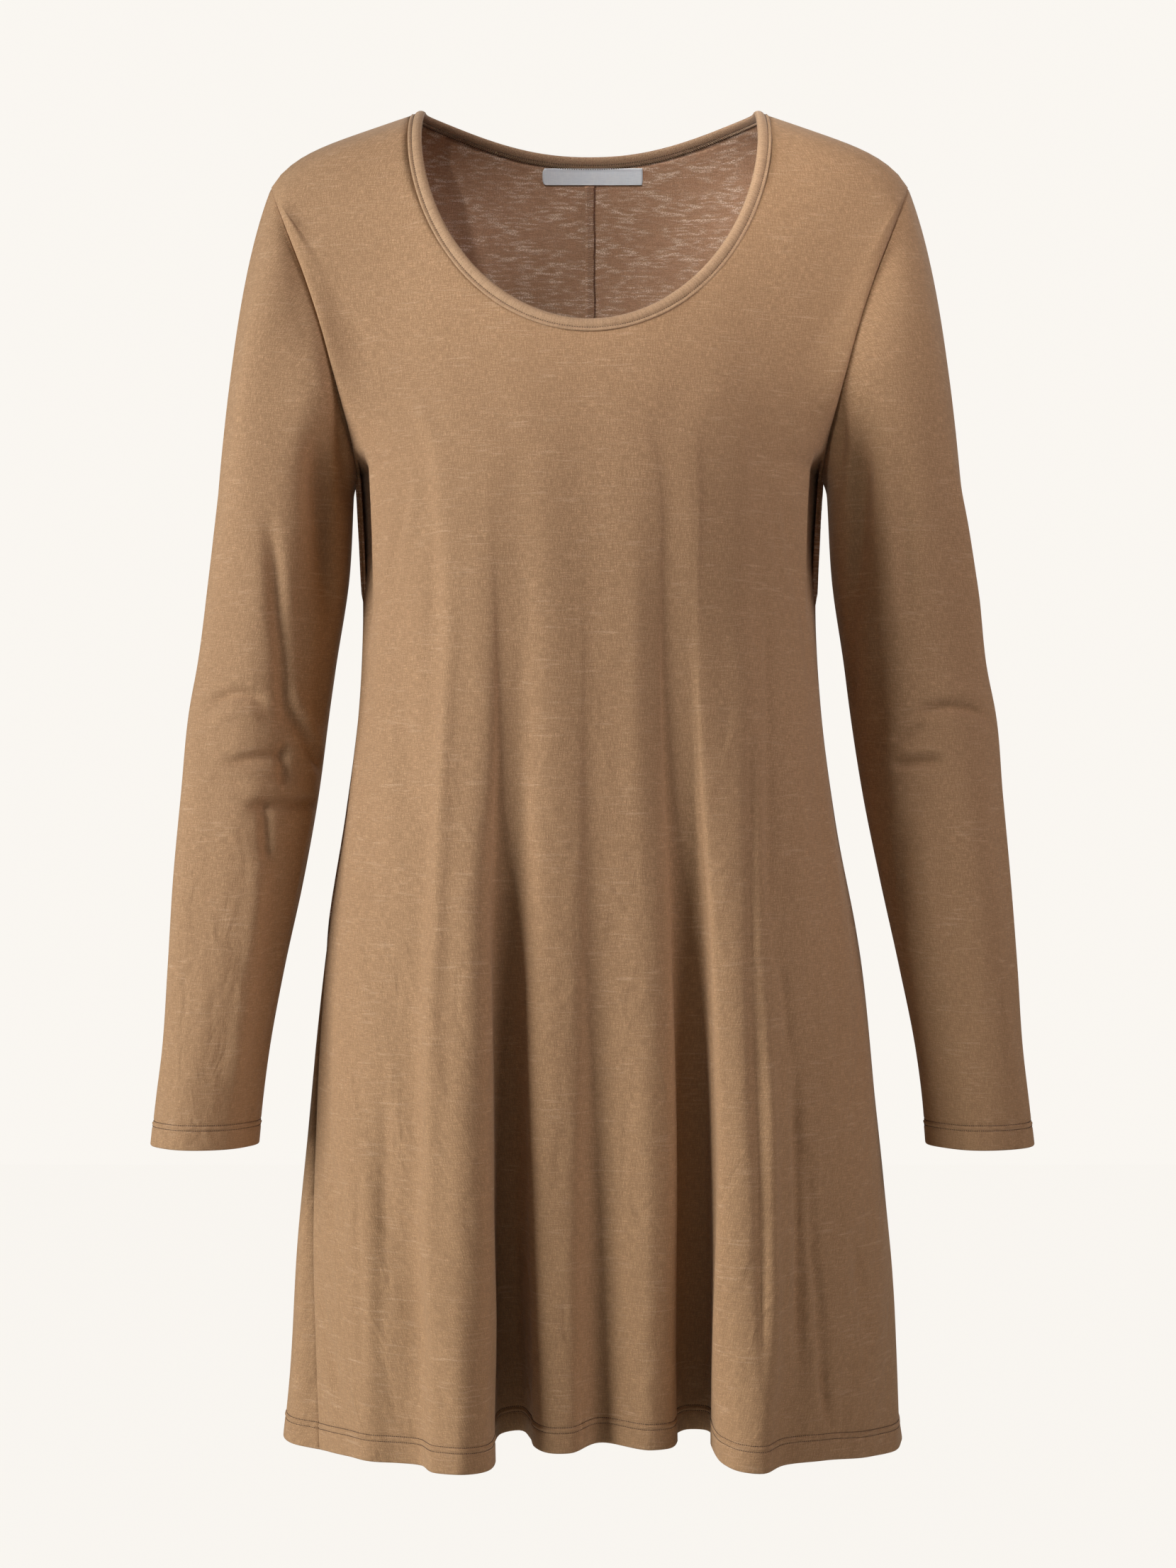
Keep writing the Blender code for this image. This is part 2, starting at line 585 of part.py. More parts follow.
def armhole_ring(skins, sign):
    """Body points and normals round an armhole: tip, front, underarm, back, in that order."""
    tip = SHOULDER_ROWS
    low = SHOULDER_ROWS + ARMHOLE_ROWS
    column = -1 if sign > 0 else 0
    back = skins["back_left" if sign > 0 else "back_right"]
    front = skins["front_panel"]
    points = np.concatenate([
        front["skin"][tip:low + 1, column],
        back["skin"][tip + 1:low, column][::-1],
    ])
    normals = np.concatenate([
        front["normals"][tip:low + 1, column],
        back["normals"][tip + 1:low, column][::-1],
    ])
    return points, normals


def sleeve_ring(drop, angle, sign):
    """One level ring of a sleeve."""
    side = "high" if sign > 0 else "low"
    inner = smooth(SLEEVE["drop"], SLEEVE[side + "_inner"], drop)
    outer = smooth(SLEEVE["drop"], SLEEVE[side + "_outer"], drop)
    middle = smooth(SLEEVE["drop"], SLEEVE["middle"], drop)
    depth = smooth(SLEEVE["drop"], SLEEVE["half_depth"], drop)
    x = (inner + outer) / 2 + (outer - inner) / 2 * np.cos(angle)
    y = middle - depth * np.sin(angle)
    return np.stack([sign * x, y, np.full_like(x, -drop)], axis=-1)


def cap_direction(angle, sign):
    """Direction in which the sleeve leaves the armhole."""
    front = np.sin(angle)
    out = CAP_LEAVE["out"] + CAP_LEAVE["front_out"] * front**2
    x = sign * (out - CAP_LEAVE["inner_in"] * (1.0 - np.cos(angle)))
    y = -CAP_LEAVE["forward"] * front
    z = CAP_LEAVE["front_up"] * front**2 - CAP_LEAVE["down"]
    return unit(np.stack([x, y, z], axis=-1))


def fold_sleeve(points, normals, angle):
    """Press the long troughs into a sleeve's skin."""
    drop = -points[..., 2]
    press = np.zeros(points.shape[:2])
    for centre, width, top, bottom, depth in zip(*[SLEEVE_FOLDS[key] for key in SLEEVE_FOLDS]):
        away = (np.degrees(angle)[None, :] - centre + 180.0) % 360.0 - 180.0
        length = bottom - top
        along = ramp(drop, top, top + 0.4 * length) * (1.0 - ramp(drop, bottom - 0.4 * length, bottom))
        press += depth * np.exp(-(away / width) ** 2) * along
    return points - normals * press[..., None]


def sleeve_skin(ring, sign, cap_rows, drops):
    """Outer skin of a sleeve: a cap from the armhole, then level rings down to the cuff."""
    count = len(ring)
    angle = np.linspace(0.0, 2.0 * math.pi, count, endpoint=False)
    top = ring + np.array([sign * ARMHOLE_GAP, 0.0, 0.0])
    bottom = sleeve_ring(SLEEVE_TOP_DROP, angle, sign)
    reach = np.linalg.norm(bottom - top, axis=1, keepdims=True) * CAP_PULL
    leave = cap_direction(angle, sign) * reach
    arrive = unit(np.array([sign * SLEEVE_LEAN, 0.0, -1.0])) * reach
    rows = []
    for t in np.linspace(0.0, 1.0, cap_rows + 1):
        rows.append(
            (2 * t**3 - 3 * t**2 + 1) * top + (t**3 - 2 * t**2 + t) * leave
            + (3 * t**2 - 2 * t**3) * bottom + (t**3 - t**2) * arrive
        )
    for drop in drops:
        rows.append(sleeve_ring(drop, angle, sign))
    points = np.stack(rows)
    middle = points.mean(axis=1, keepdims=True)
    normals = grid_normals(points, points - middle, closed=True)
    points = fold_sleeve(points, normals, angle)
    return points, grid_normals(points, points - middle, closed=True)


def sleeve_drops(count):
    """Drops of the level rings under the cap, with a pair where the turned hem starts."""
    cuff = SLEEVE["drop"][-1]
    hem_top = cuff - CUFF_HEM_DEPTH
    even = SLEEVE_TOP_DROP + (hem_top - HEM_STEP - SLEEVE_TOP_DROP) * np.arange(1, count + 1) / count
    return np.concatenate([even, [hem_top, cuff]])


def build_sleeve(name, skins, sign, material):
    """One set-in sleeve."""
    ring, body_normals = armhole_ring(skins, sign)
    drops = sleeve_drops(SLEEVE_ROWS)
    outer, normals = sleeve_skin(ring, sign, CAP_ROWS, drops)
    angle = np.linspace(0.0, 2.0 * math.pi, len(ring), endpoint=False)
    share = ((1.0 + np.cos(angle)) / 2.0)[:, None]
    own = normals[0].copy()
    normals[0] = unit(own + share * body_normals)
    cap_drops = np.zeros(CAP_ROWS + 1)
    hem_top = SLEEVE["drop"][-1] - CUFF_HEM_DEPTH
    wall = wall_by_row(np.concatenate([cap_drops, drops]), WALL, HEM_WALL, hem_top)
    inner = outer - normals * wall[:, None, None]
    wall_object(name, outer, inner, material, closed=True)
    return own, share


def open_body_seams(skins):
    """Draw the panels' edges back, half a seam gap each."""
    half = SEAM_GAP / 2.0
    for piece in skins.values():
        skin = piece["skin"]
        first = nudge(skin[:, 0], skin[:, 1], half)
        last = nudge(skin[:, -1], skin[:, -2], half)
        skin[:, 0] = first
        skin[:, -1] = last


def build_body(skins, material):
    """The front and the two halves of the back."""
    hem_top = HEM_DROP - HEM_DEPTH
    for name, piece in skins.items():
        wall = wall_by_row(piece["drops"], WALL, HEM_WALL, hem_top)
        piece["inner"] = piece["skin"] - piece["normals"] * wall[:, None, None]
        wall_object(name, piece["skin"], piece["inner"], material)


def build_binding(skins, material):
    """The bound edge: a narrow band all round the neck, from the neck seam inwards."""
    front, right, left = skins["front_panel"], skins["back_right"], skins["back_left"]
    seam = np.concatenate([front["skin"][0], left["skin"][0, ::-1][1:], right["skin"][0, ::-1][:-1]])
    below = np.concatenate([front["skin"][1], left["skin"][1, ::-1][1:], right["skin"][1, ::-1][:-1]])
    normals = np.concatenate([
        front["normals"][0], left["normals"][0, ::-1][1:], right["normals"][0, ::-1][:-1],
    ])
    along = unit(np.roll(seam, -1, axis=0) - np.roll(seam, 1, axis=0))
    inward = unit(np.cross(along, normals))
    facing = np.sign(np.sum(inward * (seam - below), axis=1, keepdims=True))
    inward = inward * facing
    start = SEAM_GAP
    width = BINDING_WIDTH
    edge = (BINDING_OUT + BINDING_IN) / 4.0
    outline = [
        (start, -BINDING_IN), (start, BINDING_OUT / 2.0), (start + BINDING_RISE, BINDING_OUT),
        (width - edge, BINDING_OUT), (width, BINDING_OUT - edge), (width, edge - BINDING_IN),
        (width - edge, -BINDING_IN),
    ]
    rings = [seam + inward * reach + normals * lift for reach, lift in outline]
    points = np.stack(rings)
    count, around = points.shape[0], points.shape[1]
    vertices = points.reshape(-1, 3)
    faces = []
    for ring in range(count):
        following = (ring + 1) % count
        for place in range(around):
            step = (place + 1) % around
            faces.append((
                ring * around + place, ring * around + step,
                following * around + step, following * around + place,
            ))
    new_object("neck_binding", vertices, outward_faces(vertices, faces), material)


def back_inside(x, drop):
    """Point on the inner skin of the back, a little inside it, at a place seen from the front."""
    step = 0.002
    y = section_depth("back", x, drop)
    slope_x = (section_depth("back", x + step, drop) - section_depth("back", x - step, drop)) / (2 * step)
    slope_z = (section_depth("back", x, drop - step) - section_depth("back", x, drop + step)) / (2 * step)
    normal = unit(np.stack([-slope_x, np.ones_like(slope_x), -slope_z], axis=-1))
    return np.stack([x, y, -drop], axis=-1), normal


def build_label(material):
    """A bare woven label on the inside of the back, under the binding."""
    x, drop = np.meshgrid(
        np.linspace(LABEL_LEFT, LABEL_RIGHT, LABEL_GRID[1]),
        np.linspace(LABEL_TOP_DROP, LABEL_TOP_DROP + LABEL_HEIGHT, LABEL_GRID[0]),
    )
    surface, normal = back_inside(x, drop)
    far = surface - normal * (WALL + 2 * SEAM_GAP)
    near = far - normal * LABEL_THICKNESS
    wall_object("neck_label", near, far, material)


def build_allowance(skins, material):
    """The trimmed seam allowance inside the centre-back seam, from the label to the hem."""
    piece = skins["back_right"]
    other = skins["back_left"]
    rows = piece["skin"].shape[0]
    top = LABEL_TOP_DROP + LABEL_HEIGHT + 2 * SEAM_GAP
    bottom = HEM_DROP - HEM_DEPTH - ALLOWANCE_END
    kept = [row for row in range(rows) if top < -piece["skin"][row, -1, 2] < bottom]
    seam = (piece["skin"][kept, -1] + other["skin"][kept, 0]) / 2.0
    normal = marry(piece["normals"][kept, -1], other["normals"][kept, 0])
    across = unit(other["skin"][kept, 1] - piece["skin"][kept, -2])
    start, start_normal = back_inside(np.array([CENTRE_BACK_X]), np.array([top]))
    seam = np.concatenate([start, seam])
    normal = np.concatenate([start_normal, normal])
    across = np.concatenate([across[:1], across])
    offsets = np.linspace(ALLOWANCE_LEFT - CENTRE_BACK_X, ALLOWANCE_RIGHT - CENTRE_BACK_X, 3)
    lift = WALL + 2.5 * SEAM_GAP
    far = np.stack([seam + across * offset - normal * lift for offset in offsets], axis=1)
    near = far - normal[:, None, :] * ALLOWANCE_THICKNESS
    wall_object("back_seam_allowance", near, far, material)


def clear_scene():
    for item in list(bpy.data.objects):
        bpy.data.objects.remove(item, do_unlink=True)


def main():
    clear_scene()
    tan = cloth_material("tan_slub_jersey", (0.42, 0.26, 0.14), 0.85)
    band = cloth_material("tan_binding", (0.40, 0.25, 0.13), 0.80)
    pale = cloth_material("pale_woven_label", (0.50, 0.55, 0.62), 0.75)
    skins = body_skins()
    marry_body_seams(skins)
    for name, sign in (("sleeve_right", -1), ("sleeve_left", 1)):
        sleeve_normals, share = build_sleeve(name, skins, sign, tan)
        tip, low = SHOULDER_ROWS, SHOULDER_ROWS + ARMHOLE_ROWS
        column = -1 if sign > 0 else 0
        back = skins["back_left" if sign > 0 else "back_right"]["normals"]
        front = skins["front_panel"]["normals"]
        blended = share * sleeve_normals
        front[tip:low + 1, column] = unit(front[tip:low + 1, column] + blended[:ARMHOLE_ROWS + 1])
        around = np.concatenate([blended[:1], blended[ARMHOLE_ROWS:][::-1]])
        back[tip:low + 1, column] = unit(back[tip:low + 1, column] + around)
    build_binding(skins, band)
    open_body_seams(skins)
    build_body(skins, tan)
    build_label(pale)
    build_allowance(skins, tan)


main()
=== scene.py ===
"""Long-sleeved swing tunic in tan slub jersey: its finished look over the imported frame.

Metres, +Z up. The front faces -Y and the wearer's left side is at +X. Each cut piece is rebuilt
at a fine pitch on the form of its solid, with rolled seams, turned hems, creases and stitching.
"drop" is the distance below the origin, where a wearer's neck and shoulders hold the tunic up.
The long charts of folds and creases are written in tenths of a millimetre.
"""
import math

import bpy
import numpy as np
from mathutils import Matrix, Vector


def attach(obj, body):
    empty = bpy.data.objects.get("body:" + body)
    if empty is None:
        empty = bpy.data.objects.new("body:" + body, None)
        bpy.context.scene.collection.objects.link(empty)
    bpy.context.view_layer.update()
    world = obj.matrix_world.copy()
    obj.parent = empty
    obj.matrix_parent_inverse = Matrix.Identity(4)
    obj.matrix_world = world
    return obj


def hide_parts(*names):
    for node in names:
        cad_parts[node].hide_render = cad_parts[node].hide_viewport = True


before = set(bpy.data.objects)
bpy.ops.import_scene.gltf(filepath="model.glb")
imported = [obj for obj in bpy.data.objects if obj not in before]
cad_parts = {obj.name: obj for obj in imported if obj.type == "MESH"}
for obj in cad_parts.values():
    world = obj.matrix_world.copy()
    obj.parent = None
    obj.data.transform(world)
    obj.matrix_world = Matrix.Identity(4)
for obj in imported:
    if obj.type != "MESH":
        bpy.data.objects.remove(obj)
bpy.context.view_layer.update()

# Camera and stage.
CAMERA_X = -0.0010
CAMERA_DROP = 0.4193
CAMERA_DISTANCE = 1.6000
CAMERA_LENS = 58.88
CAMERA_SENSOR = 36.0
CAMERA_REACH = 50.0
FLOOR_DROP = 1.2500
FLOOR_HALF = 4.0

WALL = 0.0015              # thickness of the jersey wall
HEM_WALL = 0.0024          # two layers, where the hem is turned up
HEM_DEPTH = 0.0170         # turned hem of the body
CUFF_HEM_DEPTH = 0.0150    # turned hem of the sleeves
SEAM_GAP = 0.0003          # air between two pieces at a seam

NECK_POINT_X = 0.1100      # neck seam at the shoulder line
NECK_POINT_DROP = 0.0030
NECK_HALF_WIDTH = 0.1145   # widest half of the scoop
FRONT_NECK_DROP = 0.1520   # neck seam at the centre front
BACK_NECK_DROP = 0.0205    # neck seam at the centre back

SHOULDER_TIP_X = 0.1985
SHOULDER_SLOPE = 0.0313    # fall of the straight part of the shoulder seam
SHOULDER_ROUND = 0.0130    # extra fall as the seam rounds over its tip
SHOULDER_ROUND_POWER = 7.0
TIP_DROP = NECK_POINT_DROP + SHOULDER_SLOPE + SHOULDER_ROUND

UNDERARM_DROP = 0.2256
HEM_DROP = 0.8268
CENTRE_BACK_X = 0.0025     # the centre-back seam

FRONT_POWER = 2.30         # how square the body's sections are across the front
BACK_POWER = 2.50
NECK_HOLD = 0.85           # how much of the scoop's shape the row at the shoulder tip keeps
FOLD_START_DROP = 0.1500   # the folds start to form here and are full at the hem
FOLD_GROWTH = 1.45
TURN_START_DROP = 0.1500   # between these drops the columns change from even spacing across the
TURN_END_DROP = 0.2700     # chest to spacing by angle round the body
SIDE_LEVEL_DROP = 0.4500   # the side seam is level with the shoulder seam from here down

SWELL = 0.0060             # soft fullness of the chest, each side of the centre
SWELL_X = 0.0780
SWELL_DROP = 0.2620
SWELL_WIDTH = 0.0450
SWELL_HEIGHT = 0.0750

LABEL_LEFT = -0.0306
LABEL_RIGHT = 0.0345
LABEL_TOP_DROP = 0.0198
LABEL_HEIGHT = 0.0096
LABEL_THICKNESS = 0.0004
ALLOWANCE_LEFT = -0.0024
ALLOWANCE_RIGHT = 0.0036
ALLOWANCE_END = 0.0040     # the allowance stops this far above the turned hem
ALLOWANCE_THICKNESS = 0.0007
ALLOWANCE_EDGE = 0.55      # part of its thickness that is left at both edges
ALLOWANCE_STEPS = np.linspace(0.0, 1.0, 9)     # its columns, as shares of its width
ALLOWANCE_LIFT = WALL + 2.5 * SEAM_GAP         # it lies this far inside the outer skin
ALLOWANCE_SEED = 31
ALLOWANCE_WAVER = 0.00022  # unevenness of the trimmed edge, evened over so many stitches:
ALLOWANCE_EVEN = np.ones(9) / 3.0

SLEEVE_TOP_DROP = 0.2400   # the first level ring of a sleeve, just under the underarm
SLEEVE_LEAN = 0.08         # how far a sleeve leans out at that ring, for each unit down
CAP_PULL = 0.85            # how long the sleeve cap keeps the directions of its two ends
CAP_LEAVE = {
    "out": 0.36,
    "front_out": 0.37,
    "inner_in": 0.12,
    "forward": 0.50,
    "down": 0.90,
    "front_up": 0.50,
}

# Grid resolution.
EDGE_SAMPLES = (60, 80)    # of a panel's side edge: along the shoulder and armhole each, below
NECK_SAMPLES = 400
SHOULDER_ROWS = 14
ARMHOLE_ROWS = 58
SIDE_ROWS = 100
COLUMN_PITCH = {"front": 0.0027, "back": 0.0034}    # along the hem
COLUMN_LEAST = 3           # columns from one fold line to the next
SEAM_COLUMNS = 4           # more of them next to a seam
SEAM_CROWD = 1.8           # how strongly columns crowd together beside a seam
CAP_ROWS = 46
CAP_CROWD = 1.25           # how strongly a cap's rows crowd together at the armhole
SLEEVE_ROWS = 190
HEM_ZONE = 0.0035          # fine rows start this far above a turned hem
HEM_PITCH = 0.0008
HEM_FINE_END = 0.0095
FAR_ABOVE = 1.0            # stands for the height of rows that no hem reaches
HEM_EDGE_ROWS = [0.0080, 0.0060, 0.0040, 0.0024, 0.0014, 0.0008, 0.0004, 0.0001, 0.0]

# Relief of the made-up cloth.
SEAM_DIP = 0.0006          # the cloth rolls in this far at a seam
SEAM_ROLL = 0.0024
SEAM_CALM = 0.0140         # ripples and creases die out this close to a seam
HEM_SWELL = 0.00030
HEM_EDGE_RADIUS = 0.0012
EDGE_CLOSE = 0.80
EDGE_LEAST = 0.999         # just short of 1, so the folded edge keeps a thickness
NEEDLE_ROWS = {"hem": (0.0126, 0.0160), "cuff": (0.0119, 0.0150)}
NEEDLE_WIDTH = 0.00085
NEEDLE_DIP = 0.00045
NEEDLE_RIDGE = 0.00050
RIPPLE = 0.0045
RIPPLE_WAVES = 14
RIPPLE_ACROSS = (30.0, 150.0)      # the waves' pitch over the cloth, in radians a metre
RIPPLE_DOWN = (-22.0, 22.0)
RIPPLE_SIZES = (0.4, 1.0)
RIPPLE_START = (0.05, 0.30)        # drops between which the ripples of the body set in
RIPPLE_SEEDS = {
    "front_panel": 11,
    "back_right": 12,
    "back_left": 13,
    "sleeve_right": 14,
    "sleeve_left": 15,
}
CREASE_FADE = 0.30
FACING = (0.0, 0.35)       # a crease comes in as the sleeve turns to face it, by its normal's y
SLEEVE_WRAP = (0.12, 0.88)     # ripples stay clear of the column where a sleeve's cloth closes
SLEEVE_FOLD_FADE = 0.40
EVEN_FALL = 2.9            # how quickly the weights of evening fall to both sides
CALM_SIDES = (0.03, 0.07)  # the evening comes in at this distance from the sides
SLOPE_STEP = 0.002         # half the distance over which the back's slope is read
TUCK_DEPTH = 0.0240        # the body's cloth beside an underarm is pushed back this far
TUCK_WIDTH = (0.0054, 0.0030)   # at its top and at its lower end
TUCK_EDGE = 0.0022
TUCK_CALM = 0.0120
TUCK_START = (0.2100, 0.2230)
TUCK_END = (0.2620, 0.3350)

# Stitching.
HEM_STITCH = 0.0013        # from one stitch to the next
BAND_STITCH = 0.0015
STITCH_SHARE = 0.40        # part of it that the thread covers
THREAD_RADIUS = 0.00030
STITCH_SHAPE = ((-1.0, 0.35), (-0.6, 1.0), (0.6, 1.0), (1.0, 0.35))     # place, thickness
THREAD_SIDES = 5
THREAD_SINK = 0.25         # part of its radius by which a hem thread stands over the cloth
TOP_ROW = (0.0019, 0.00008)            # inwards from the neck seam, over the cloth
NEEDLE_LINES = ((0.0002, -0.0019), (0.0034, -0.0025))      # the same, under the binding
NEEDLE_SHARE = 0.50
NEEDLE_THICK = 1.2
BRAID_LINE = (0.0018, -0.0023)
BRAID_SWING = 0.0010
BRAID_RADIUS = 0.00026
OVERLOCK_STITCH = 0.0012
OVERLOCK_RADIUS = 0.00015
OVERLOCK_OVER = ((2, 0.9), (4, 0.6), (6, 0.4))     # column that a loop crosses, share of its row
OVERLOCK_ROUND = (0.4, 0.3)            # the same, outside and under the edge
OVERLOCK_OUT = 0.00040
OVERLOCK_LIFT = 0.00012
CORD_RADIUS = 0.00055
CORD_SIDES = 6
CORD_SINK = 0.3            # part of the allowance's thickness by which its cord sits in it
CORD_TWIST = 0.25
CORD_UNEVEN = 0.08
LEVEL_COLUMNS = 4          # the way across the seam is read so many columns to both sides of it
OTHER_WAY = [0, 3, 2, 1]   # a quad's corners the other way round, from the same first corner


def table(names, rows):
    """A dictionary of named columns. Each row starts with its own name."""
    values = np.array([row[1:] for row in rows], dtype=float)
    return {name: values[:, index] for index, name in enumerate(names.split())}


def chart(names, text):
    """A table from lines of text: late is a plain power, all else tenths of a millimetre."""
    columns = table(names, [line.split() for line in text.strip().splitlines()])
    return {name: values if name == "late" else values / 1e4 for name, values in columns.items()}


# The armhole, from the shoulder tip to the underarm, on the +X side.
ARMHOLE = {
    "front": table("x y drop", [
        ("tip", SHOULDER_TIP_X, 0.0000, TIP_DROP),
        ("cap", 0.1945, -0.0145, 0.0580),
        ("upper", 0.1868, -0.0275, 0.0775),
        ("chest", 0.1732, -0.0395, 0.1125),
        ("pitch", 0.1622, -0.0465, 0.1460),
        ("hollow", 0.1562, -0.0480, 0.1680),
        ("turn", 0.1515, -0.0435, 0.1860),
        ("scoop", 0.1470, -0.0275, 0.2060),
        ("low", 0.1454, -0.0110, 0.2190),
        ("underarm", 0.1453, 0.0040, UNDERARM_DROP),
    ]),
    "back": table("x y drop", [
        ("tip", SHOULDER_TIP_X, 0.0000, TIP_DROP),
        ("cap", 0.1957, 0.0150, 0.0575),
        ("upper", 0.1900, 0.0290, 0.0780),
        ("blade", 0.1810, 0.0410, 0.1080),
        ("pitch", 0.1710, 0.0485, 0.1400),
        ("hollow", 0.1615, 0.0505, 0.1720),
        ("turn", 0.1540, 0.0440, 0.1970),
        ("scoop", 0.1482, 0.0300, 0.2140),
        ("low", 0.1457, 0.0160, 0.2225),
        ("underarm", 0.1453, 0.0040, UNDERARM_DROP),
    ]),
}

# The neck seam: its lowest drop, how square its curve is, and how it runs out into the shoulder
# line (0.5 meets it square on, 1 and more run out flat).
NECK = {
    "front": {"bottom": FRONT_NECK_DROP, "power": 2.00, "run_out": 0.50},
    "back": {"bottom": BACK_NECK_DROP, "power": 2.20, "run_out": 1.75},
}

# Depth of the centre line in front of or behind the side, and how its section rounds off
# towards the edge: 0.5 is a full round, 1 is a flat curve that meets the edge at an angle.
DEPTH = {
    "front": table("drop y bow", [
        ("above", 0.000, -0.0280, 0.50),
        ("neck", 0.010, -0.0370, 0.50),
        ("slope", 0.035, -0.0540, 0.50),
        ("tip", 0.050, -0.0610, 0.52),
        ("upper", 0.075, -0.0700, 0.58),
        ("chest", 0.105, -0.0785, 0.66),
        ("scoop", 0.151, -0.0890, 0.72),
        ("swell", 0.190, -0.1010, 0.64),
        ("underarm", UNDERARM_DROP, -0.1115, 0.56),
        ("bust", 0.270, -0.1185, 0.51),
        ("under", 0.340, -0.1190, 0.50),
        ("waist", 0.420, -0.1175, 0.50),
        ("hip", 0.550, -0.1150, 0.50),
        ("hem", HEM_DROP, -0.1120, 0.50),
    ]),
    "back": table("drop y bow", [
        ("above", 0.000, 0.0420, 0.50),
        ("neck", 0.010, 0.0530, 0.50),
        ("slope", 0.035, 0.0715, 0.50),
        ("tip", 0.050, 0.0790, 0.52),
        ("upper", 0.075, 0.0885, 0.58),
        ("blade", 0.105, 0.0965, 0.64),
        ("middle", 0.151, 0.1045, 0.70),
        ("lower", 0.190, 0.1080, 0.64),
        ("underarm", UNDERARM_DROP, 0.1080, 0.56),
        ("ribs", 0.270, 0.1050, 0.51),
        ("waist", 0.340, 0.1000, 0.50),
        ("loin", 0.420, 0.1010, 0.50),
        ("hip", 0.550, 0.1060, 0.50),
        ("hem", HEM_DROP, 0.1100, 0.50),
    ]),
}
EDGE_HOLD = 8.0            # how closely the pull of the armhole keeps to its own edge

# Half widths of the body below the underarm, on the -X side and on the +X side.
SIDE = table("drop low_x high_x", [
    ("underarm", UNDERARM_DROP, 0.1453, 0.1453),
    ("ribs", 0.2660, 0.1428, 0.1424),
    ("waist", 0.3100, 0.1413, 0.1408),
    ("loin", 0.3724, 0.1437, 0.1442),
    ("hip", 0.4388, 0.1525, 0.1530),
    ("seat", 0.5051, 0.1643, 0.1641),
    ("thigh", 0.5715, 0.1726, 0.1734),
    ("skirt", 0.6378, 0.1790, 0.1811),
    ("low", 0.7041, 0.1853, 0.1864),
    ("lower", 0.7705, 0.1896, 0.1906),
    ("hem", HEM_DROP, 0.1941, 0.1952),
])

# Each fold's crest, turn and floor, as a line that runs down the cloth: its place across the
# bust, its place and depth at the hem, how much the hem rises there, and how late it forms.
FOLDS = {
    "front": chart("bust_x hem_x hem_y rise late", """
        seam_low_x -1450 -1657 -300 0 2.2
        low_flank -1400 -1458 -570 30 1.5
        low_swell -1300 -1310 -740 42 1
        low_dip -1140 -1140 -785 44 1
        low_rise -1000 -1005 -850 50 1
        low_crest_a -890 -900 -1070 60 1
        low_crest_b -745 -745 -1140 68 1
        low_turn -675 -645 -1060 60 1
        low_edge -605 -562 -830 58 1
        low_under -565 -588 -610 90 1
        low_floor_a -520 -535 -450 135 1.1
        low_floor_b -450 -430 -425 146 1.1
        middle_rise -390 -362 -570 135 1
        middle_edge -330 -322 -735 125 1
        middle_crest_a -240 -215 -870 125 1
        middle_brow -115 -120 -885 128 1
        middle_trough 0 55 -710 145 1
        middle_crest_b 325 370 -870 140 1
        middle_turn 385 482 -810 138 1
        middle_far_edge 425 526 -670 140 1
        high_under 450 517 -520 146 1
        high_floor_a 490 590 -415 152 1.1
        high_floor_b 560 690 -425 152 1.1
        high_edge 640 740 -700 120 1
        high_rise 725 768 -1010 95 1
        high_crest_a 840 870 -1125 85 1
        high_crest_b 975 1010 -1145 77 1
        high_pleat 1055 1136 -1010 90 1
        high_flank_a 1205 1391 -860 80 1
        high_flank_b 1345 1680 -630 40 1
        high_side 1430 1870 -350 10 1
        high_turn 1448 1940 -100 0 1
        seam_high_x 1450 1925 150 0 1
    """),
    "back": chart("bust_x hem_x hem_y rise late", """
        seam_low_x -1450 -1657 -300 0 2.2
        low_side -1449 -1820 -180 0 1.6
        low_turn -1444 -1912 60 0 1
        low_flank -1400 -1870 430 10 1
        low_crest -1240 -1640 860 20 1
        low_trough -1030 -1270 740 30 1
        low_ridge -760 -930 1140 20 1
        low_floor -470 -560 880 40 1
        middle_ridge_a -210 -240 1100 20 1
        centre 25 30 990 30 1
        middle_ridge_b 270 310 1120 20 1
        high_floor 530 630 860 40 1
        high_ridge 810 1000 1150 20 1
        high_trough 1060 1340 780 30 1
        high_crest 1260 1670 850 20 1
        high_flank 1420 1880 480 10 1
        seam_high_x 1450 1925 150 0 1
    """),
}

# Level sections of the sleeves: inner and outer edge seen from the front, for the -X sleeve
# (low) and the +X one (high), then the middle in depth and the half depth of both.
SLEEVE = table("drop low_inner low_outer high_inner high_outer middle half_depth", [
    ("top", SLEEVE_TOP_DROP, 0.1476, 0.2312, 0.1476, 0.2316, 0.0000, 0.0490),
    ("biceps", 0.2928, 0.1502, 0.2376, 0.1506, 0.2390, 0.0020, 0.0480),
    ("above_elbow", 0.3459, 0.1582, 0.2446, 0.1586, 0.2468, 0.0030, 0.0460),
    ("elbow", 0.3724, 0.1620, 0.2495, 0.1622, 0.2528, 0.0030, 0.0445),
    ("below_elbow", 0.4255, 0.1690, 0.2543, 0.1704, 0.2572, -0.0010, 0.0410),
    ("forearm", 0.4785, 0.1785, 0.2583, 0.1806, 0.2612, -0.0070, 0.0380),
    ("middle", 0.5316, 0.1897, 0.2606, 0.1915, 0.2644, -0.0130, 0.0350),
    ("wrist", 0.5847, 0.1985, 0.2635, 0.2014, 0.2672, -0.0180, 0.0320),
    ("hem", 0.6112, 0.2014, 0.2666, 0.2048, 0.2700, -0.0200, 0.0305),
    ("cuff", 0.6408, 0.2038, 0.2697, 0.2073, 0.2731, -0.0220, 0.0295),
])

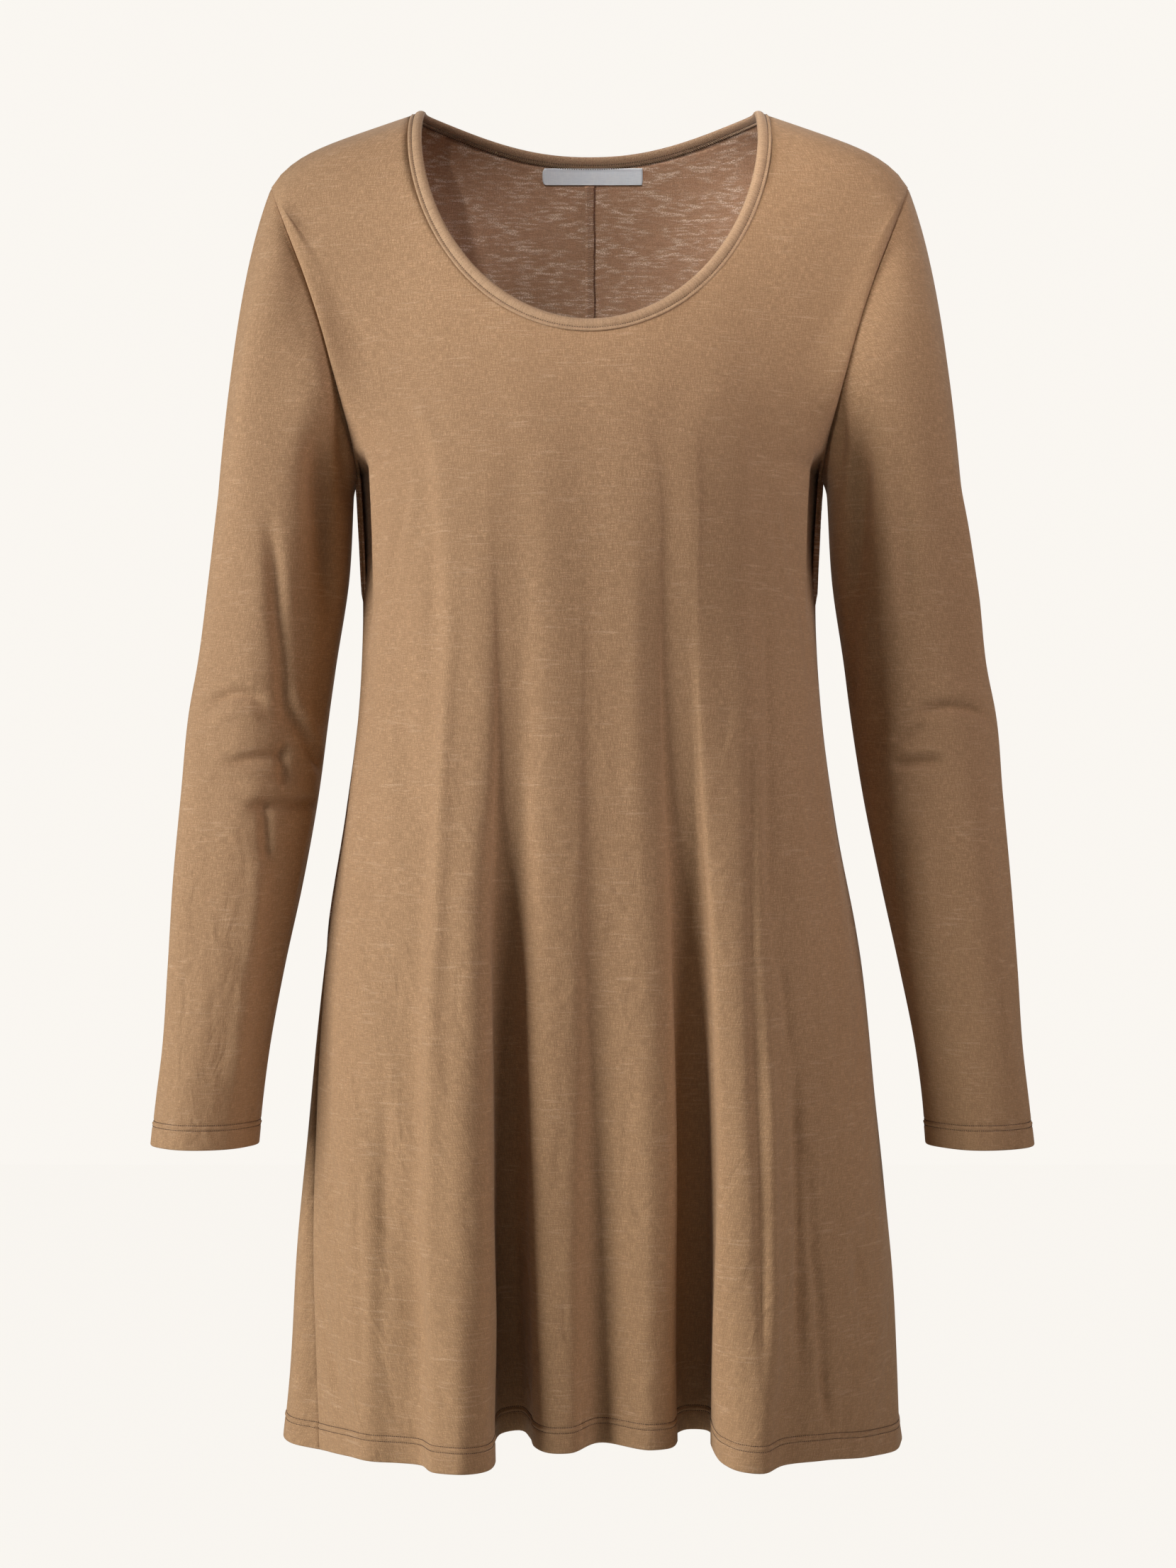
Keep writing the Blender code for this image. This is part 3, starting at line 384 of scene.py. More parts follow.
# Long soft troughs down a sleeve. Angles run from the outer side (0) over the front (90) to
# the inner side (180).
SLEEVE_FOLDS = table("angle width top bottom depth", [
    ("front_trough", 128.0, 17.0, 0.165, 0.345, 0.0050),
    ("back_trough", 235.0, 20.0, 0.200, 0.360, 0.0040),
    ("forearm_plane", 62.0, 22.0, 0.420, 0.600, 0.0022),
])

# Creases, each a soft trough (depth above 0) or ridge (below 0) along a line seen from the front,
# with a bow to one side.
CREASE_COLUMNS = "x0 drop0 x1 drop1 bow width depth"
CREASES = {
    "front_panel": chart(CREASE_COLUMNS, """
        left_lobe_edge -724 4122 -689 8810 0 106 -55
        left_soft_shade -901 2309 -1043 4255 -18 53 11
        left_bright_ridge -822 2574 -1007 7174 -27 40 -21
        left_streak_light -1052 2220 -1202 2928 0 27 -14
        left_streak_dark -1113 2265 -1255 2972 0 27 14
        left_edge_streak -1286 2353 -1374 3370 0 31 14
        left_flank_shade -1122 3193 -1158 4609 0 62 8
        high_crest_wide 894 2132 921 5007 0 71 -7
        middle_far_crest 284 2353 302 5184 0 71 -8
        high_shade 1036 1712 1009 3636 0 84 16
        high_line_a 1005 3282 1027 6909 0 27 22
        high_line_b 1107 2840 1129 5316 0 27 17
        armpit_flare 1306 1712 1275 2552 0 53 -14
        armpit_line_a 1195 2309 1319 3193 0 27 17
        armpit_line_b 1124 2265 1200 2972 0 27 11
        armpit_line_c 1284 2618 1381 3636 0 27 14
        low_shade_a -1268 5847 -1308 8059 0 44 17
        low_shade_b -1450 6289 -1428 8191 0 31 13
        low_pinch_a -1007 7607 -1255 7740 13 27 17
        low_pinch_b -839 7802 -1043 7652 13 27 14
        low_pinch_c -1220 7537 -1025 7431 -13 27 14
        low_pinch_d -848 8103 -1007 7935 0 27 14
        low_pinch_e -1140 7086 -1290 7262 13 27 11
        low_edge_pinch -1635 7660 -1565 8036 0 27 25
        low_edge_shade -1600 6599 -1635 7152 0 27 17
        high_low_line 1049 5139 1085 8191 0 27 31
        high_low_light 1138 5670 1164 8191 0 27 -22
        flank_wrinkle 1275 5803 1310 8081 18 31 48
        flank_branch 1186 5184 1270 6024 0 27 20
        flank_second 1346 6334 1416 7395 0 27 20
        flank_third 1408 6997 1478 8213 0 27 25
        flank_foot 1443 7771 1492 8258 0 27 25
        flank_far 1642 6953 1752 7815 0 35 25
        flank_far_soft 1620 5361 1655 6776 0 62 8
        flank_mid_soft 1496 4388 1567 6378 0 44 17
    """),
    "sleeve_right": chart(CREASE_COLUMNS, """
        seam_trough -1565 1778 -1503 2508 0 35 22
        seam_ridge -1635 1822 -1573 2795 0 35 -13
        deep_trough -1742 1933 -1604 3282 -13 49 44
        arm_crest -1848 2220 -1697 3547 0 62 -13
        inner_soft -1635 3105 -1728 4078 0 44 16
        upper_soft -2016 2397 -1958 3370 0 53 22
        cross_trough -1989 2486 -1892 3990 13 44 38
        cross_line -1927 3658 -1644 4166 9 35 36
        cross_ridge -1883 3525 -1671 3998 9 44 -22
        elbow_arch -2423 3715 -1980 3698 75 35 42
        elbow_arch_light -2387 3821 -2016 3804 71 40 -20
        elbow_fold_a -2334 4069 -1821 3998 0 35 48
        elbow_spot -1914 3901 -1905 4237 0 31 34
        elbow_fold_b -2175 4343 -1644 4299 0 35 48
        elbow_light_b -2193 4250 -1724 4211 0 44 -14
        elbow_fold_c -2387 4166 -2122 4184 0 31 16
        fore_line -2029 4255 -2007 4741 0 31 30
        forearm_ridge_a -2060 4520 -2126 5449 0 62 -22
        forearm_ridge_b -2126 5316 -2232 6201 0 62 -22
        forearm_trough -1936 4565 -2033 5582 0 49 18
        seam_line_a -1702 4166 -1896 5162 0 18 -9
        seam_line_b -1883 5029 -2082 5980 0 18 -9
        seam_line_c -2073 5847 -2091 6488 0 18 -8
    """),
    "sleeve_left": chart(CREASE_COLUMNS, """
        seam_trough 1584 1778 1549 2397 0 35 20
        seam_ridge 1646 1778 1598 2552 0 31 -15
        deep_trough 1730 1911 1633 3238 9 49 40
        inner_trough 1629 2884 1646 3813 0 40 22
        upper_shade 1841 3061 1757 4122 0 97 20
        inner_shade 1929 1999 2000 3282 0 62 26
        elbow_arch 1974 3804 2531 3795 80 35 44
        elbow_arch_light 2053 3627 2469 3653 35 49 -13
        elbow_fold 1850 4069 2248 4051 0 35 42
        elbow_fold_light 1876 3981 2204 3967 0 44 -11
        elbow_pull 1876 3936 2115 3804 0 31 28
        outer_light 2221 1955 2456 3459 0 27 -18
        outer_ridge 2230 2176 2478 3813 27 71 -15
        fore_soft 1929 4343 2000 5139 0 44 18
        fore_ridge 2071 4255 2168 5405 0 57 -18
    """),
    "back_right": chart(CREASE_COLUMNS, """
        blade_soft -620 1900 -660 3900 30 90 19
        waist_trough -980 2700 -1080 5200 20 70 17
        armpit_line -1240 2300 -1130 3300 0 30 15
        armpit_ridge -1310 2200 -1240 3100 0 45 -17
        fold_line -330 4200 -390 8050 20 35 20
        fold_light -260 4400 -310 8000 20 30 -14
        low_pinch_a -1180 7300 -1020 7450 10 30 10
        low_pinch_b -1050 7600 -900 7480 10 30 8
        flank_soft -1350 5200 -1450 7900 0 50 17
    """),
    "back_left": chart(CREASE_COLUMNS, """
        blade_soft 690 1800 720 4100 -30 95 19
        waist_trough 1010 2900 1130 5400 -20 70 17
        armpit_line 1260 2250 1140 3350 0 30 15
        armpit_ridge 1330 2180 1250 3150 0 45 -17
        fold_line 450 4000 520 8050 -20 35 20
        fold_light 380 4300 440 8000 -20 30 -14
        low_pinch_a 1200 7400 1060 7520 10 30 10
        flank_soft 1450 5000 1600 7900 0 50 17
        flank_line 1300 6000 1400 7800 20 30 15
    """),
    "sleeve_right_behind": chart(CREASE_COLUMNS, """
        seam_trough -1570 1850 -1520 2550 0 35 31
        deep_trough -1800 2000 -1660 3300 20 50 54
        upper_soft -2050 2500 -2010 3500 0 55 24
        elbow_fold_a -2300 4020 -1950 3960 -40 30 20
        elbow_fold_b -2240 4300 -1900 4270 -30 30 19
        forearm_ridge -2150 4500 -2300 6000 0 60 -20
    """),
    "sleeve_left_behind": chart(CREASE_COLUMNS, """
        seam_trough 1590 1850 1540 2500 0 35 31
        deep_trough 1830 1950 1680 3250 -20 50 54
        upper_soft 2080 2600 2050 3700 0 60 24
        elbow_fold_a 2330 3980 1970 4030 40 30 20
        elbow_fold_b 2300 4280 2010 4330 30 30 17
        forearm_ridge 2180 4500 2340 6000 0 60 -20
    """),
}

CLOTH_UV = "cloth"
NECK_PITCH = 0.0018        # from one point of the neck seam to the next
NECK_SOFTEN = 3            # times that each is averaged with its neighbours
# the painted shade of the binding's inner half comes in over this turn
BAND_TURN = (0.0094, 0.0110)   # where the binding turns to the inside, along its section
LABEL_GRID = (22, 60)
LABEL_CORNER = 0.0016
LABEL_FAR_CORNER = 0.25    # the corners at high X are cut by this part of it
LABEL_FOLD = 0.00012
LABEL_FOLD_PLACE = 0.20
LABEL_FOLD_WIDTH = 0.05
LABEL_GAP = 0.0002
LABEL_CALM = (0.0300, 0.0340)  # the seam rolls in again between these drops, under the label
LABEL_CALM_REACH = 0.0300
LABEL_BORDER = 0.25
LABEL_BORDER_WIDTH = 0.02

# The binding's section: distance inwards from the neck seam, and height over the cloth.
BINDING_SECTION = table("reach lift", [
    ("under_lip", -0.0004, -0.0004),
    ("lip_foot", -0.0004, 0.00020),
    ("lip_side", -0.0001, 0.00045),
    ("lip_top", 0.0004, 0.00070),
    ("lip_back", 0.0009, 0.00052),
    ("valley_out", 0.0015, 0.00020),
    ("valley", 0.0019, -0.00010),
    ("valley_in", 0.0023, 0.00020),
    ("roll_out", 0.0029, 0.00075),
    ("roll_rise", 0.0037, 0.00105),
    ("roll_crown", 0.0047, 0.00120),
    ("roll_fall", 0.0058, 0.00105),
    ("roll_turn", 0.0068, 0.00060),
    ("edge_front", 0.0076, -0.00005),
    ("edge", 0.0081, -0.00080),
    ("edge_back", 0.0080, -0.00150),
    ("inside_turn", 0.0074, -0.00205),
    ("inside_crown", 0.0060, -0.00240),
    ("inside_middle", 0.0042, -0.00240),
    ("inside_fall", 0.0024, -0.00215),
    ("inside_foot", 0.0008, -0.00185),
    ("inside_end", 0.0000, -0.00160),
])

# How far, and down to which drops, the high front is evened across its columns.
CALM = table("reach share start end", [
    ("wide", 26, 0.80, 0.2500, 0.5800),
    ("fine", 9, 0.90, 0.4200, 0.7000),
])

# The cloths' grain: a noise scale for each axis of the cloth, detail and distortion.
GRAIN = {
    "wale": ((1750.0, 190.0, 1.0), 2.0),
    "weft": ((170.0, 1750.0, 1.0), 2.0),
    "heather": ((1500.0, 1200.0, 1.0), 3.0),
    "rumple": ((62.0, 34.0, 1.0), 1.5, 0.8),
    "tone": ((9.0, 6.0, 1.0), 2.0),
    "band_wale": ((1200.0, 110.0, 1.0), 1.0),
    "band_rib": ((650.0, 60.0, 1.0), 0.5),
    "band_heather": ((1300.0, 1200.0, 1.0), 3.0),
    "band_pull": ((160.0, 60.0, 1.0), 1.0),
    "twist": ((1800.0, 1800.0, 1800.0), 2.0),
    "tape_rib": ((260.0, 2600.0, 1.0), 1.0),
    "tape_warp": ((1900.0, 200.0, 1.0), 1.0),
    "tape_tone": ((90.0, 120.0, 1.0), 2.0),
    "paper": ((3.0, 3.0, 3.0), 2.0),
}
YARN_GRAIN = (2.0, 0.4)                    # detail and distortion of the thick yarns
PATCH_GRAIN = (2.0, 0.6)                   # and of the patches in which they show
RUMPLE_RANGE = (0.25, 0.60, 0.3, 1.0)      # drops between which the rumples set in, and how far
LOW_TONE = (0.30, 0.80, 0.0, 0.85)         # the same for the browner tone towards the hem

# Relief that the shaders add, from the lowest layer up: distance and strength of each.
JERSEY_BUMPS = ((0.0030, 0.7), (0.00035, 0.5), (0.00035, 0.5), (0.00030, 0.7))
BAND_BUMPS = ((0.00035, 0.7), (0.0006, 0.8), (0.0005, 0.35), (0.0003, 0.7))
THREAD_BUMPS = ((0.0001, 0.6),)
TAPE_BUMPS = ((0.00012, 0.5), (0.00010, 0.4))

# Colours and yarn of the cloths.
OUTSIDE = {
    "base": (0.590, 0.362, 0.202),
    "shade": (0.520, 0.315, 0.174),
    "low": (0.510, 0.308, 0.157),
    "dark": (0.310, 0.181, 0.092),
    "slub": (0.660, 0.450, 0.290),
}
INSIDE = {
    "base": (0.650, 0.394, 0.246),
    "shade": (0.580, 0.340, 0.208),
    "low": (0.610, 0.362, 0.226),
    "dark": (0.330, 0.182, 0.108),
    "slub": (0.940, 0.770, 0.620),
}
FACE_SLUB = {
    "thin": (60.0, 620.0, 1.0),
    "thin_range": (0.50, 0.74, 0.0, 0.42),
    "patch": (26.0, 90.0, 1.0),
    "patch_range": (0.40, 0.64, 0.0, 1.0),
    "speck": 0.55,
    "wale": 0.60,
    "weft": 0.52,
    "heather": 0.60,
}
BACK_SLUB = {
    "thin": (100.0, 620.0, 1.0),
    "thin_range": (0.42, 0.66, 0.0, 0.85),
    "patch": (40.0, 120.0, 1.0),
    "patch_range": (0.36, 0.60, 0.1, 1.0),
    "speck": 0.15,
    "wale": 0.35,
    "weft": 0.45,
    "heather": 0.60,
}
BAND = {
    "base": (0.440, 0.276, 0.159),
    # painted shade: the darker brown of the binding's inner half, turned in under the roll
    "inner": (0.285, 0.168, 0.103),
    "dark": (0.270, 0.160, 0.088),
    "slub": (0.560, 0.380, 0.235),
}
JERSEY_NAP = {
    "Sheen Roughness": 0.45,
    "Sheen Tint": (1.0, 0.90, 0.78, 1.0),
    "Specular IOR Level": 0.25,
}
BAND_NAP = {
    "Roughness": 0.78,
    "Sheen Weight": 0.25,
    "Sheen Roughness": 0.40,
    "Sheen Tint": (1.0, 0.90, 0.80, 1.0),
    "Specular IOR Level": 0.30,
}

# Light and background.
CREAM = (0.955, 0.925, 0.880)
AMBIENT_COLOR = (1.0, 0.90, 0.78)
AMBIENT_STRENGTH = 0.02
FLOOR_GLOW = 0.986
FLOOR_PAPER = ((0.60, 0.58, 0.55), (0.62, 0.60, 0.57))
LIGHTS = {
    "key": {
        "place": (-3.779, -1.682, 0.309),
        "aim": (0.0, 0.0, -0.42),
        "size": (2.0, 2.5),
        "power": 194.0,
        "color": (1.0, 1.0, 1.0),
    },
    "neck": {
        "place": (-0.421, -1.742, 0.689),
        "aim": (0.09, 0.04, -0.06),
        "size": (0.25, 0.25),
        "power": 0.165,
        "color": (1.0, 0.98, 0.95),
        "spread": 10.0,
    },
    "fill": {
        "place": (2.150, -1.250, 0.700),
        "aim": (0.20, 0.0, -0.27),
        "size": (1.4, 1.4),
        "power": 3.2,
        "color": (1.0, 0.90, 0.90),
        "spread": 38.0,
    },
    "back": {
        "place": (0.941, 3.513, 1.680),
        "aim": (0.0, 0.0, -0.42),
        "size": (2.0, 2.5),
        "power": 60.0,
        "color": (1.0, 0.97, 0.94),
    },
}


def hermite(t, start, leave, end, arrive, span=1.0):
    """Point at t, from 0 to 1, on a curve from start to end with its directions at both."""
    return (
        (2 * t**3 - 3 * t**2 + 1) * start + (t**3 - 2 * t**2 + t) * span * leave
        + (3 * t**2 - 2 * t**3) * end + (t**3 - t**2) * span * arrive
    )


def smooth(knots, values, at):
    """Read a smooth curve through values, which stand at increasing knots."""
    knots, values, at = (np.asarray(part, dtype=float) for part in (knots, values, at))
    slopes = np.gradient(values, knots, axis=0)
    index = np.clip(np.searchsorted(knots, at) - 1, 0, len(knots) - 2)
    span = knots[index + 1] - knots[index]
    t = np.clip((at - knots[index]) / span, 0.0, 1.0)
    if values.ndim == 2:
        t, span = t[..., None], span[..., None]
    return hermite(t, values[index], slopes[index], values[index + 1], slopes[index + 1], span)


def closed(values, axis=0):
    """Values with the first repeated at the end."""
    return np.concatenate([values, values.take([0], axis)], axis)


def arc_lengths(points):
    """Distance of each point from the first, along the polyline."""
    steps = np.linalg.norm(np.diff(points, axis=0), axis=1)
    return np.concatenate([[0.0], np.cumsum(steps)])


def ramp(value, start, end):
    """0 before start, 1 after end, with a soft change between them."""
    t = np.clip((value - start) / (end - start), 0.0, 1.0)
    return t * t * (3.0 - 2.0 * t)


def unit(vectors):
    """The same directions at length 1."""
    return vectors / np.maximum(np.linalg.norm(vectors, axis=-1, keepdims=True), 1e-12)


def shoulder(fraction):
    """Point (x, y, drop) on the shoulder seam, from the neck point (0) to the tip (1)."""
    fraction = np.asarray(fraction, dtype=float)
    x = NECK_POINT_X + (SHOULDER_TIP_X - NECK_POINT_X) * fraction
    fall = SHOULDER_SLOPE * fraction + SHOULDER_ROUND * fraction**SHOULDER_ROUND_POWER
    return np.stack([x, np.zeros_like(x), NECK_POINT_DROP + fall], axis=-1)


def armhole(face, fraction):
    """Point (x, y, drop) on the armhole, from the shoulder tip (0) to the underarm (1)."""
    rows = ARMHOLE[face]
    points = np.stack([rows["x"], rows["y"], rows["drop"]], axis=-1)
    along = arc_lengths(points)
    return smooth(along, points, np.asarray(fraction) * along[-1])


def side_line(drop, sign):
    """Half width of the body below the underarm, on the -X or the +X side."""
    return smooth(SIDE["drop"], SIDE["high_x" if sign > 0 else "low_x"], drop)


def edge_samples(face, sign):
    """The panel's side edge, from the neck point to the hem, as (half width, y, drop)."""
    fractions = np.linspace(0.0, 1.0, EDGE_SAMPLES[0])
    drops = np.linspace(UNDERARM_DROP, HEM_DROP, EDGE_SAMPLES[1])[1:]
    widths = side_line(drops, sign)
    level = ARMHOLE[face]["y"][-1] * (1.0 - ramp(drops, UNDERARM_DROP, SIDE_LEVEL_DROP))
    below = np.stack([widths, level, drops], axis=-1)
    return np.concatenate([shoulder(fractions), armhole(face, fractions)[1:], below])


EDGES = {(face, sign): edge_samples(face, sign) for face in ("front", "back") for sign in (-1, 1)}


def chest_swell(x, drop):
    """Soft fullness of the front, each side of the centre."""
    across = np.exp(-((np.abs(x) - SWELL_X) / SWELL_WIDTH) ** 2)
    return SWELL * across * np.exp(-((drop - SWELL_DROP) / SWELL_HEIGHT) ** 2)


def section_depth(face, x, drop):
    """The y of the plain, unfolded panel at a place seen from the front."""
    power = FRONT_POWER if face == "front" else BACK_POWER
    centre = smooth(DEPTH[face]["drop"], DEPTH[face]["y"], drop)
    bow = smooth(DEPTH[face]["drop"], DEPTH[face]["bow"], drop)
    low, high = EDGES[face, -1], EDGES[face, 1]
    half = np.where(
        x < 0, np.interp(drop, low[:, 2], low[:, 0]), np.interp(drop, high[:, 2], high[:, 0])
    )
    edge_y = np.interp(drop, high[:, 2], high[:, 1])
    ratio = np.clip(np.abs(x) / half, 0.0, 1.0)
    y = centre * (1.0 - ratio**power) ** bow + edge_y * ratio**EDGE_HOLD
    return y - chest_swell(x, drop) if face == "front" else y


def neckline(face, position):
    """Neck seam (x, drop), from the -X neck point (-1) over the centre (0) to the +X one (1)."""
    shape = NECK[face]
    angle = np.linspace(0.0, math.pi / 2, NECK_SAMPLES)
    widest = NECK_HALF_WIDTH if face == "front" else NECK_POINT_X
    pinch = (widest - NECK_POINT_X) * (1.0 - np.cos(angle)) ** 3
    x = widest * np.sin(angle) ** (2.0 / shape["power"]) - pinch
    depth = shape["bottom"] - NECK_POINT_DROP
    drop = NECK_POINT_DROP + depth * np.cos(angle) ** (2.0 * shape["run_out"])
    along = arc_lengths(np.stack([x, drop], axis=-1))
    size = np.abs(position) * along[-1]
    return np.sign(position) * np.interp(size, along, x), np.interp(size, along, drop)


def fold_lengths(face):
    """Where each fold line stands along the hem, as a distance from the low-X side seam."""
    folds = FOLDS[face]
    return arc_lengths(np.stack([folds["hem_x"], folds["hem_y"]], axis=-1))


def panel_columns(face, along):
    """What each column of a panel needs, at distances along the hem."""
    folds = FOLDS[face]
    lengths = fold_lengths(face)
    power = FRONT_POWER if face == "front" else BACK_POWER
    half = side_line(UNDERARM_DROP, 1)
    share = np.clip(np.abs(folds["bust_x"]) / half, 0.0, 1.0)
    angles = np.sign(folds["bust_x"]) * np.arcsin(share ** (power / 2.0))
    angle = smooth(lengths, angles, along)
    centre = np.interp(0.0, folds["bust_x"], lengths)
    sides = np.where(along < centre, centre, lengths[-1] - centre)
    columns = {key: smooth(lengths, folds[key], along) for key in ("hem_x", "hem_y", "rise", "late")}
    columns["even"] = (along - centre) / sides
    columns["turned"] = np.sign(angle) * np.abs(np.sin(angle)) ** (2.0 / power)
    return columns


def panel_rows(face, shoulder_rows, armhole_rows, side_drops):
    """Each row's half width and drop at its ends, and how much of the scoop it keeps."""
    over = shoulder(np.linspace(0.0, 1.0, shoulder_rows + 1))
    down = armhole(face, np.linspace(0.0, 1.0, armhole_rows + 1))[1:]
    top = np.concatenate([over, down])
    hold_over = 1.0 - (1.0 - NECK_HOLD) * np.linspace(0.0, 1.0, shoulder_rows + 1)
    hold_down = NECK_HOLD * (UNDERARM_DROP - down[:, 2]) / (UNDERARM_DROP - TIP_DROP)
    return {
        "low_x": np.concatenate([top[:, 0], side_line(side_drops, -1)]),
        "high_x": np.concatenate([top[:, 0], side_line(side_drops, 1)]),
        "drop": np.concatenate([top[:, 2], side_drops]),
        "hold": np.concatenate([hold_over, hold_down, np.zeros(len(side_drops))]),
    }


def panel_skin(face, rows, columns):
    """Outer skin of a panel as a grid of points, one row of the grid for each row."""
    low, high, drop_end, hold = (rows[key][:, None] for key in ("low_x", "high_x", "drop", "hold"))
    columns = {key: values[None, :] for key, values in columns.items()}
    even, hem_x = columns["even"], columns["hem_x"]
    settle = ramp(drop_end, TURN_START_DROP, TURN_END_DROP)
    across = even * (1.0 - settle) + columns["turned"] * settle
    half = np.where(across < 0, low, high)
    neck_x, neck_drop = neckline(face, even)
    x = across * half + hold * (neck_x - even * NECK_POINT_X)
    drop = drop_end + hold * (neck_drop - NECK_POINT_DROP)
    y = section_depth(face, x, drop)
    formed = np.clip((drop - FOLD_START_DROP) / (HEM_DROP - FOLD_START_DROP), 0.0, 1.0) ** FOLD_GROWTH
    formed = formed ** columns["late"]
    hem_half = np.where(hem_x < 0, side_line(HEM_DROP, -1), side_line(HEM_DROP, 1))
    x = x + formed * (hem_x / hem_half * half - across * half)
    y = y + formed * (columns["hem_y"] - y)
    drop = drop - formed * columns["rise"]
    return np.stack([x, y, -drop], axis=-1)


def grid_normals(points, outward, around_closed=False):
    """Unit normals of a grid of points. outward is a rough direction that they should follow."""
    down = np.gradient(points, axis=0)
    if around_closed:
        around = (np.roll(points, -1, axis=1) - np.roll(points, 1, axis=1)) / 2.0
    else:
        around = np.gradient(points, axis=1)
    normals = unit(np.cross(around, down))
    return -normals if np.sum(normals * outward) < 0 else normals


def marry(first, second):
    """One shared direction for two pieces' normals at the same seam."""
    return unit(first + second)


def sleeve_ring(drop, angle, sign):
    """One level ring of a sleeve."""
    side = "high" if sign > 0 else "low"
    keys = (side + "_inner", side + "_outer", "middle", "half_depth")
    inner, outer, middle, depth = (smooth(SLEEVE["drop"], SLEEVE[key], drop) for key in keys)
    x = (inner + outer) / 2 + (outer - inner) / 2 * np.cos(angle)
    y = middle - depth * np.sin(angle)
    return np.stack([sign * x, y, np.full_like(x, -drop)], axis=-1)


def cap_direction(angle, sign):
    """Direction in which the sleeve leaves the armhole."""
    front = np.sin(angle)
    out = CAP_LEAVE["out"] + CAP_LEAVE["front_out"] * front**2
    x = sign * (out - CAP_LEAVE["inner_in"] * (1.0 - np.cos(angle)))
    y = -CAP_LEAVE["forward"] * front
    z = CAP_LEAVE["front_up"] * front**2 - CAP_LEAVE["down"]
    return unit(np.stack([x, y, z], axis=-1))


def fold_sleeve(points, normals, angle):
    """Press the long troughs into a sleeve's skin."""
    drop = -points[..., 2]
    press = np.zeros(points.shape[:2])
    for centre, width, top, bottom, depth in zip(*SLEEVE_FOLDS.values()):
        away = (np.degrees(angle)[None, :] - centre + 180.0) % 360.0 - 180.0
        fade = SLEEVE_FOLD_FADE * (bottom - top)
        along = ramp(drop, top, top + fade) * (1.0 - ramp(drop, bottom - fade, bottom))
        press += depth * np.exp(-(away / width) ** 2) * along
    return points - normals * press[..., None]


def back_inside(x, drop):
    """Points on the outer skin of the back, seen from the front, and the normals there."""
    def slope(step_x, step_drop):
        ahead = section_depth("back", x + step_x, drop + step_drop)
        return (ahead - section_depth("back", x - step_x, drop - step_drop)) / (2 * SLOPE_STEP)

    slope_x, slope_z = slope(SLOPE_STEP, 0.0), slope(0.0, -SLOPE_STEP)
    normal = unit(np.stack([-slope_x, np.ones_like(slope_x), -slope_z], axis=-1))
    return np.stack([x, section_depth("back", x, drop), -drop], axis=-1), normal


def panel_places(face, first, last):
    """Places of a panel's columns along the hem, crowded together beside its two seams."""
    lengths = fold_lengths(face)
    places = []
    for line in range(first, last):
        span = lengths[line + 1] - lengths[line]
        count = max(COLUMN_LEAST, round(span / COLUMN_PITCH[face]))
        if line in (first, last - 1):
            count += SEAM_COLUMNS
        share = np.linspace(0.0, 1.0, count + 1)
        if line == first:
            share = share**SEAM_CROWD
        elif line == last - 1:
            share = 1.0 - (1.0 - share)**SEAM_CROWD
        places.append(lengths[line] + span * share[:-1])
    return np.append(np.concatenate(places), lengths[last])


def hem_distances(depth):
    """Heights above a hem's edge at which rows stand, from the top of the hem down to the edge."""
    fine = np.arange(depth + HEM_ZONE, HEM_FINE_END, -HEM_PITCH)
    return np.concatenate([fine, HEM_EDGE_ROWS])


def row_drops(top, edge, depth, count):
    """Drops of the rows from just below top down to a hem's edge."""
    zone = edge - hem_distances(depth)
    even = np.linspace(top, zone[0], count + 1)[1:-1]
    return np.concatenate([even, zone])


def seen_from_front(points):
    """Where the camera sees points, as x and drop in the plane y = 0."""
    scale = CAMERA_DISTANCE / (CAMERA_DISTANCE + points[..., 1])
    x = (points[..., 0] - CAMERA_X) * scale + CAMERA_X
    drop = (-points[..., 2] - CAMERA_DROP) * scale + CAMERA_DROP
    return x, drop


def crease(x, drop, row):
    """How far one crease presses the cloth in at each place."""
    run_x, run_drop = row["x1"] - row["x0"], row["drop1"] - row["drop0"]
    length = math.hypot(run_x, run_drop)
    away_x, away_drop = x - row["x0"], drop - row["drop0"]
    along = (away_x * run_x + away_drop * run_drop) / length**2
    across = (away_x * run_drop - away_drop * run_x) / length
    across = across - row["bow"] * 4.0 * along * (1.0 - along)
    fade = ramp(along, 0.0, CREASE_FADE) * (1.0 - ramp(along, 1.0 - CREASE_FADE, 1.0))
    return row["depth"] * fade * np.exp(-(across / row["width"])**2)


def press_creases(x, drop, name):
    """How far all the creases of a piece press the cloth in."""
    press = np.zeros_like(x)
    rows = CREASES[name]
    for values in zip(*rows.values()):
        press += crease(x, drop, dict(zip(rows, values)))
    return press


def even_across(values, reach):
    """Rows of values smoothed over so many columns to each side."""
    steps = np.arange(-reach, reach + 1)
    weights = np.exp(-EVEN_FALL * (steps / reach)**2)
    padded = np.pad(values, ((0, 0), (reach, reach)), mode="edge")
    even = np.zeros_like(values)
    for index, weight in enumerate(weights / weights.sum()):
        even += weight * padded[:, index:index + values.shape[1]]
    return even


def calm_folds(skin, nearest):
    """Smooth the front across, high up, where the folds have hardly begun."""
    calm = skin.copy()
    for reach, share, start, end in zip(*CALM.values()):
        share = share * (1.0 - ramp(-skin[..., 2], start, end)) * ramp(nearest, *CALM_SIDES)
        even = even_across(calm[..., 1], int(reach))
        calm[..., 1] += (even - calm[..., 1]) * share
    return calm


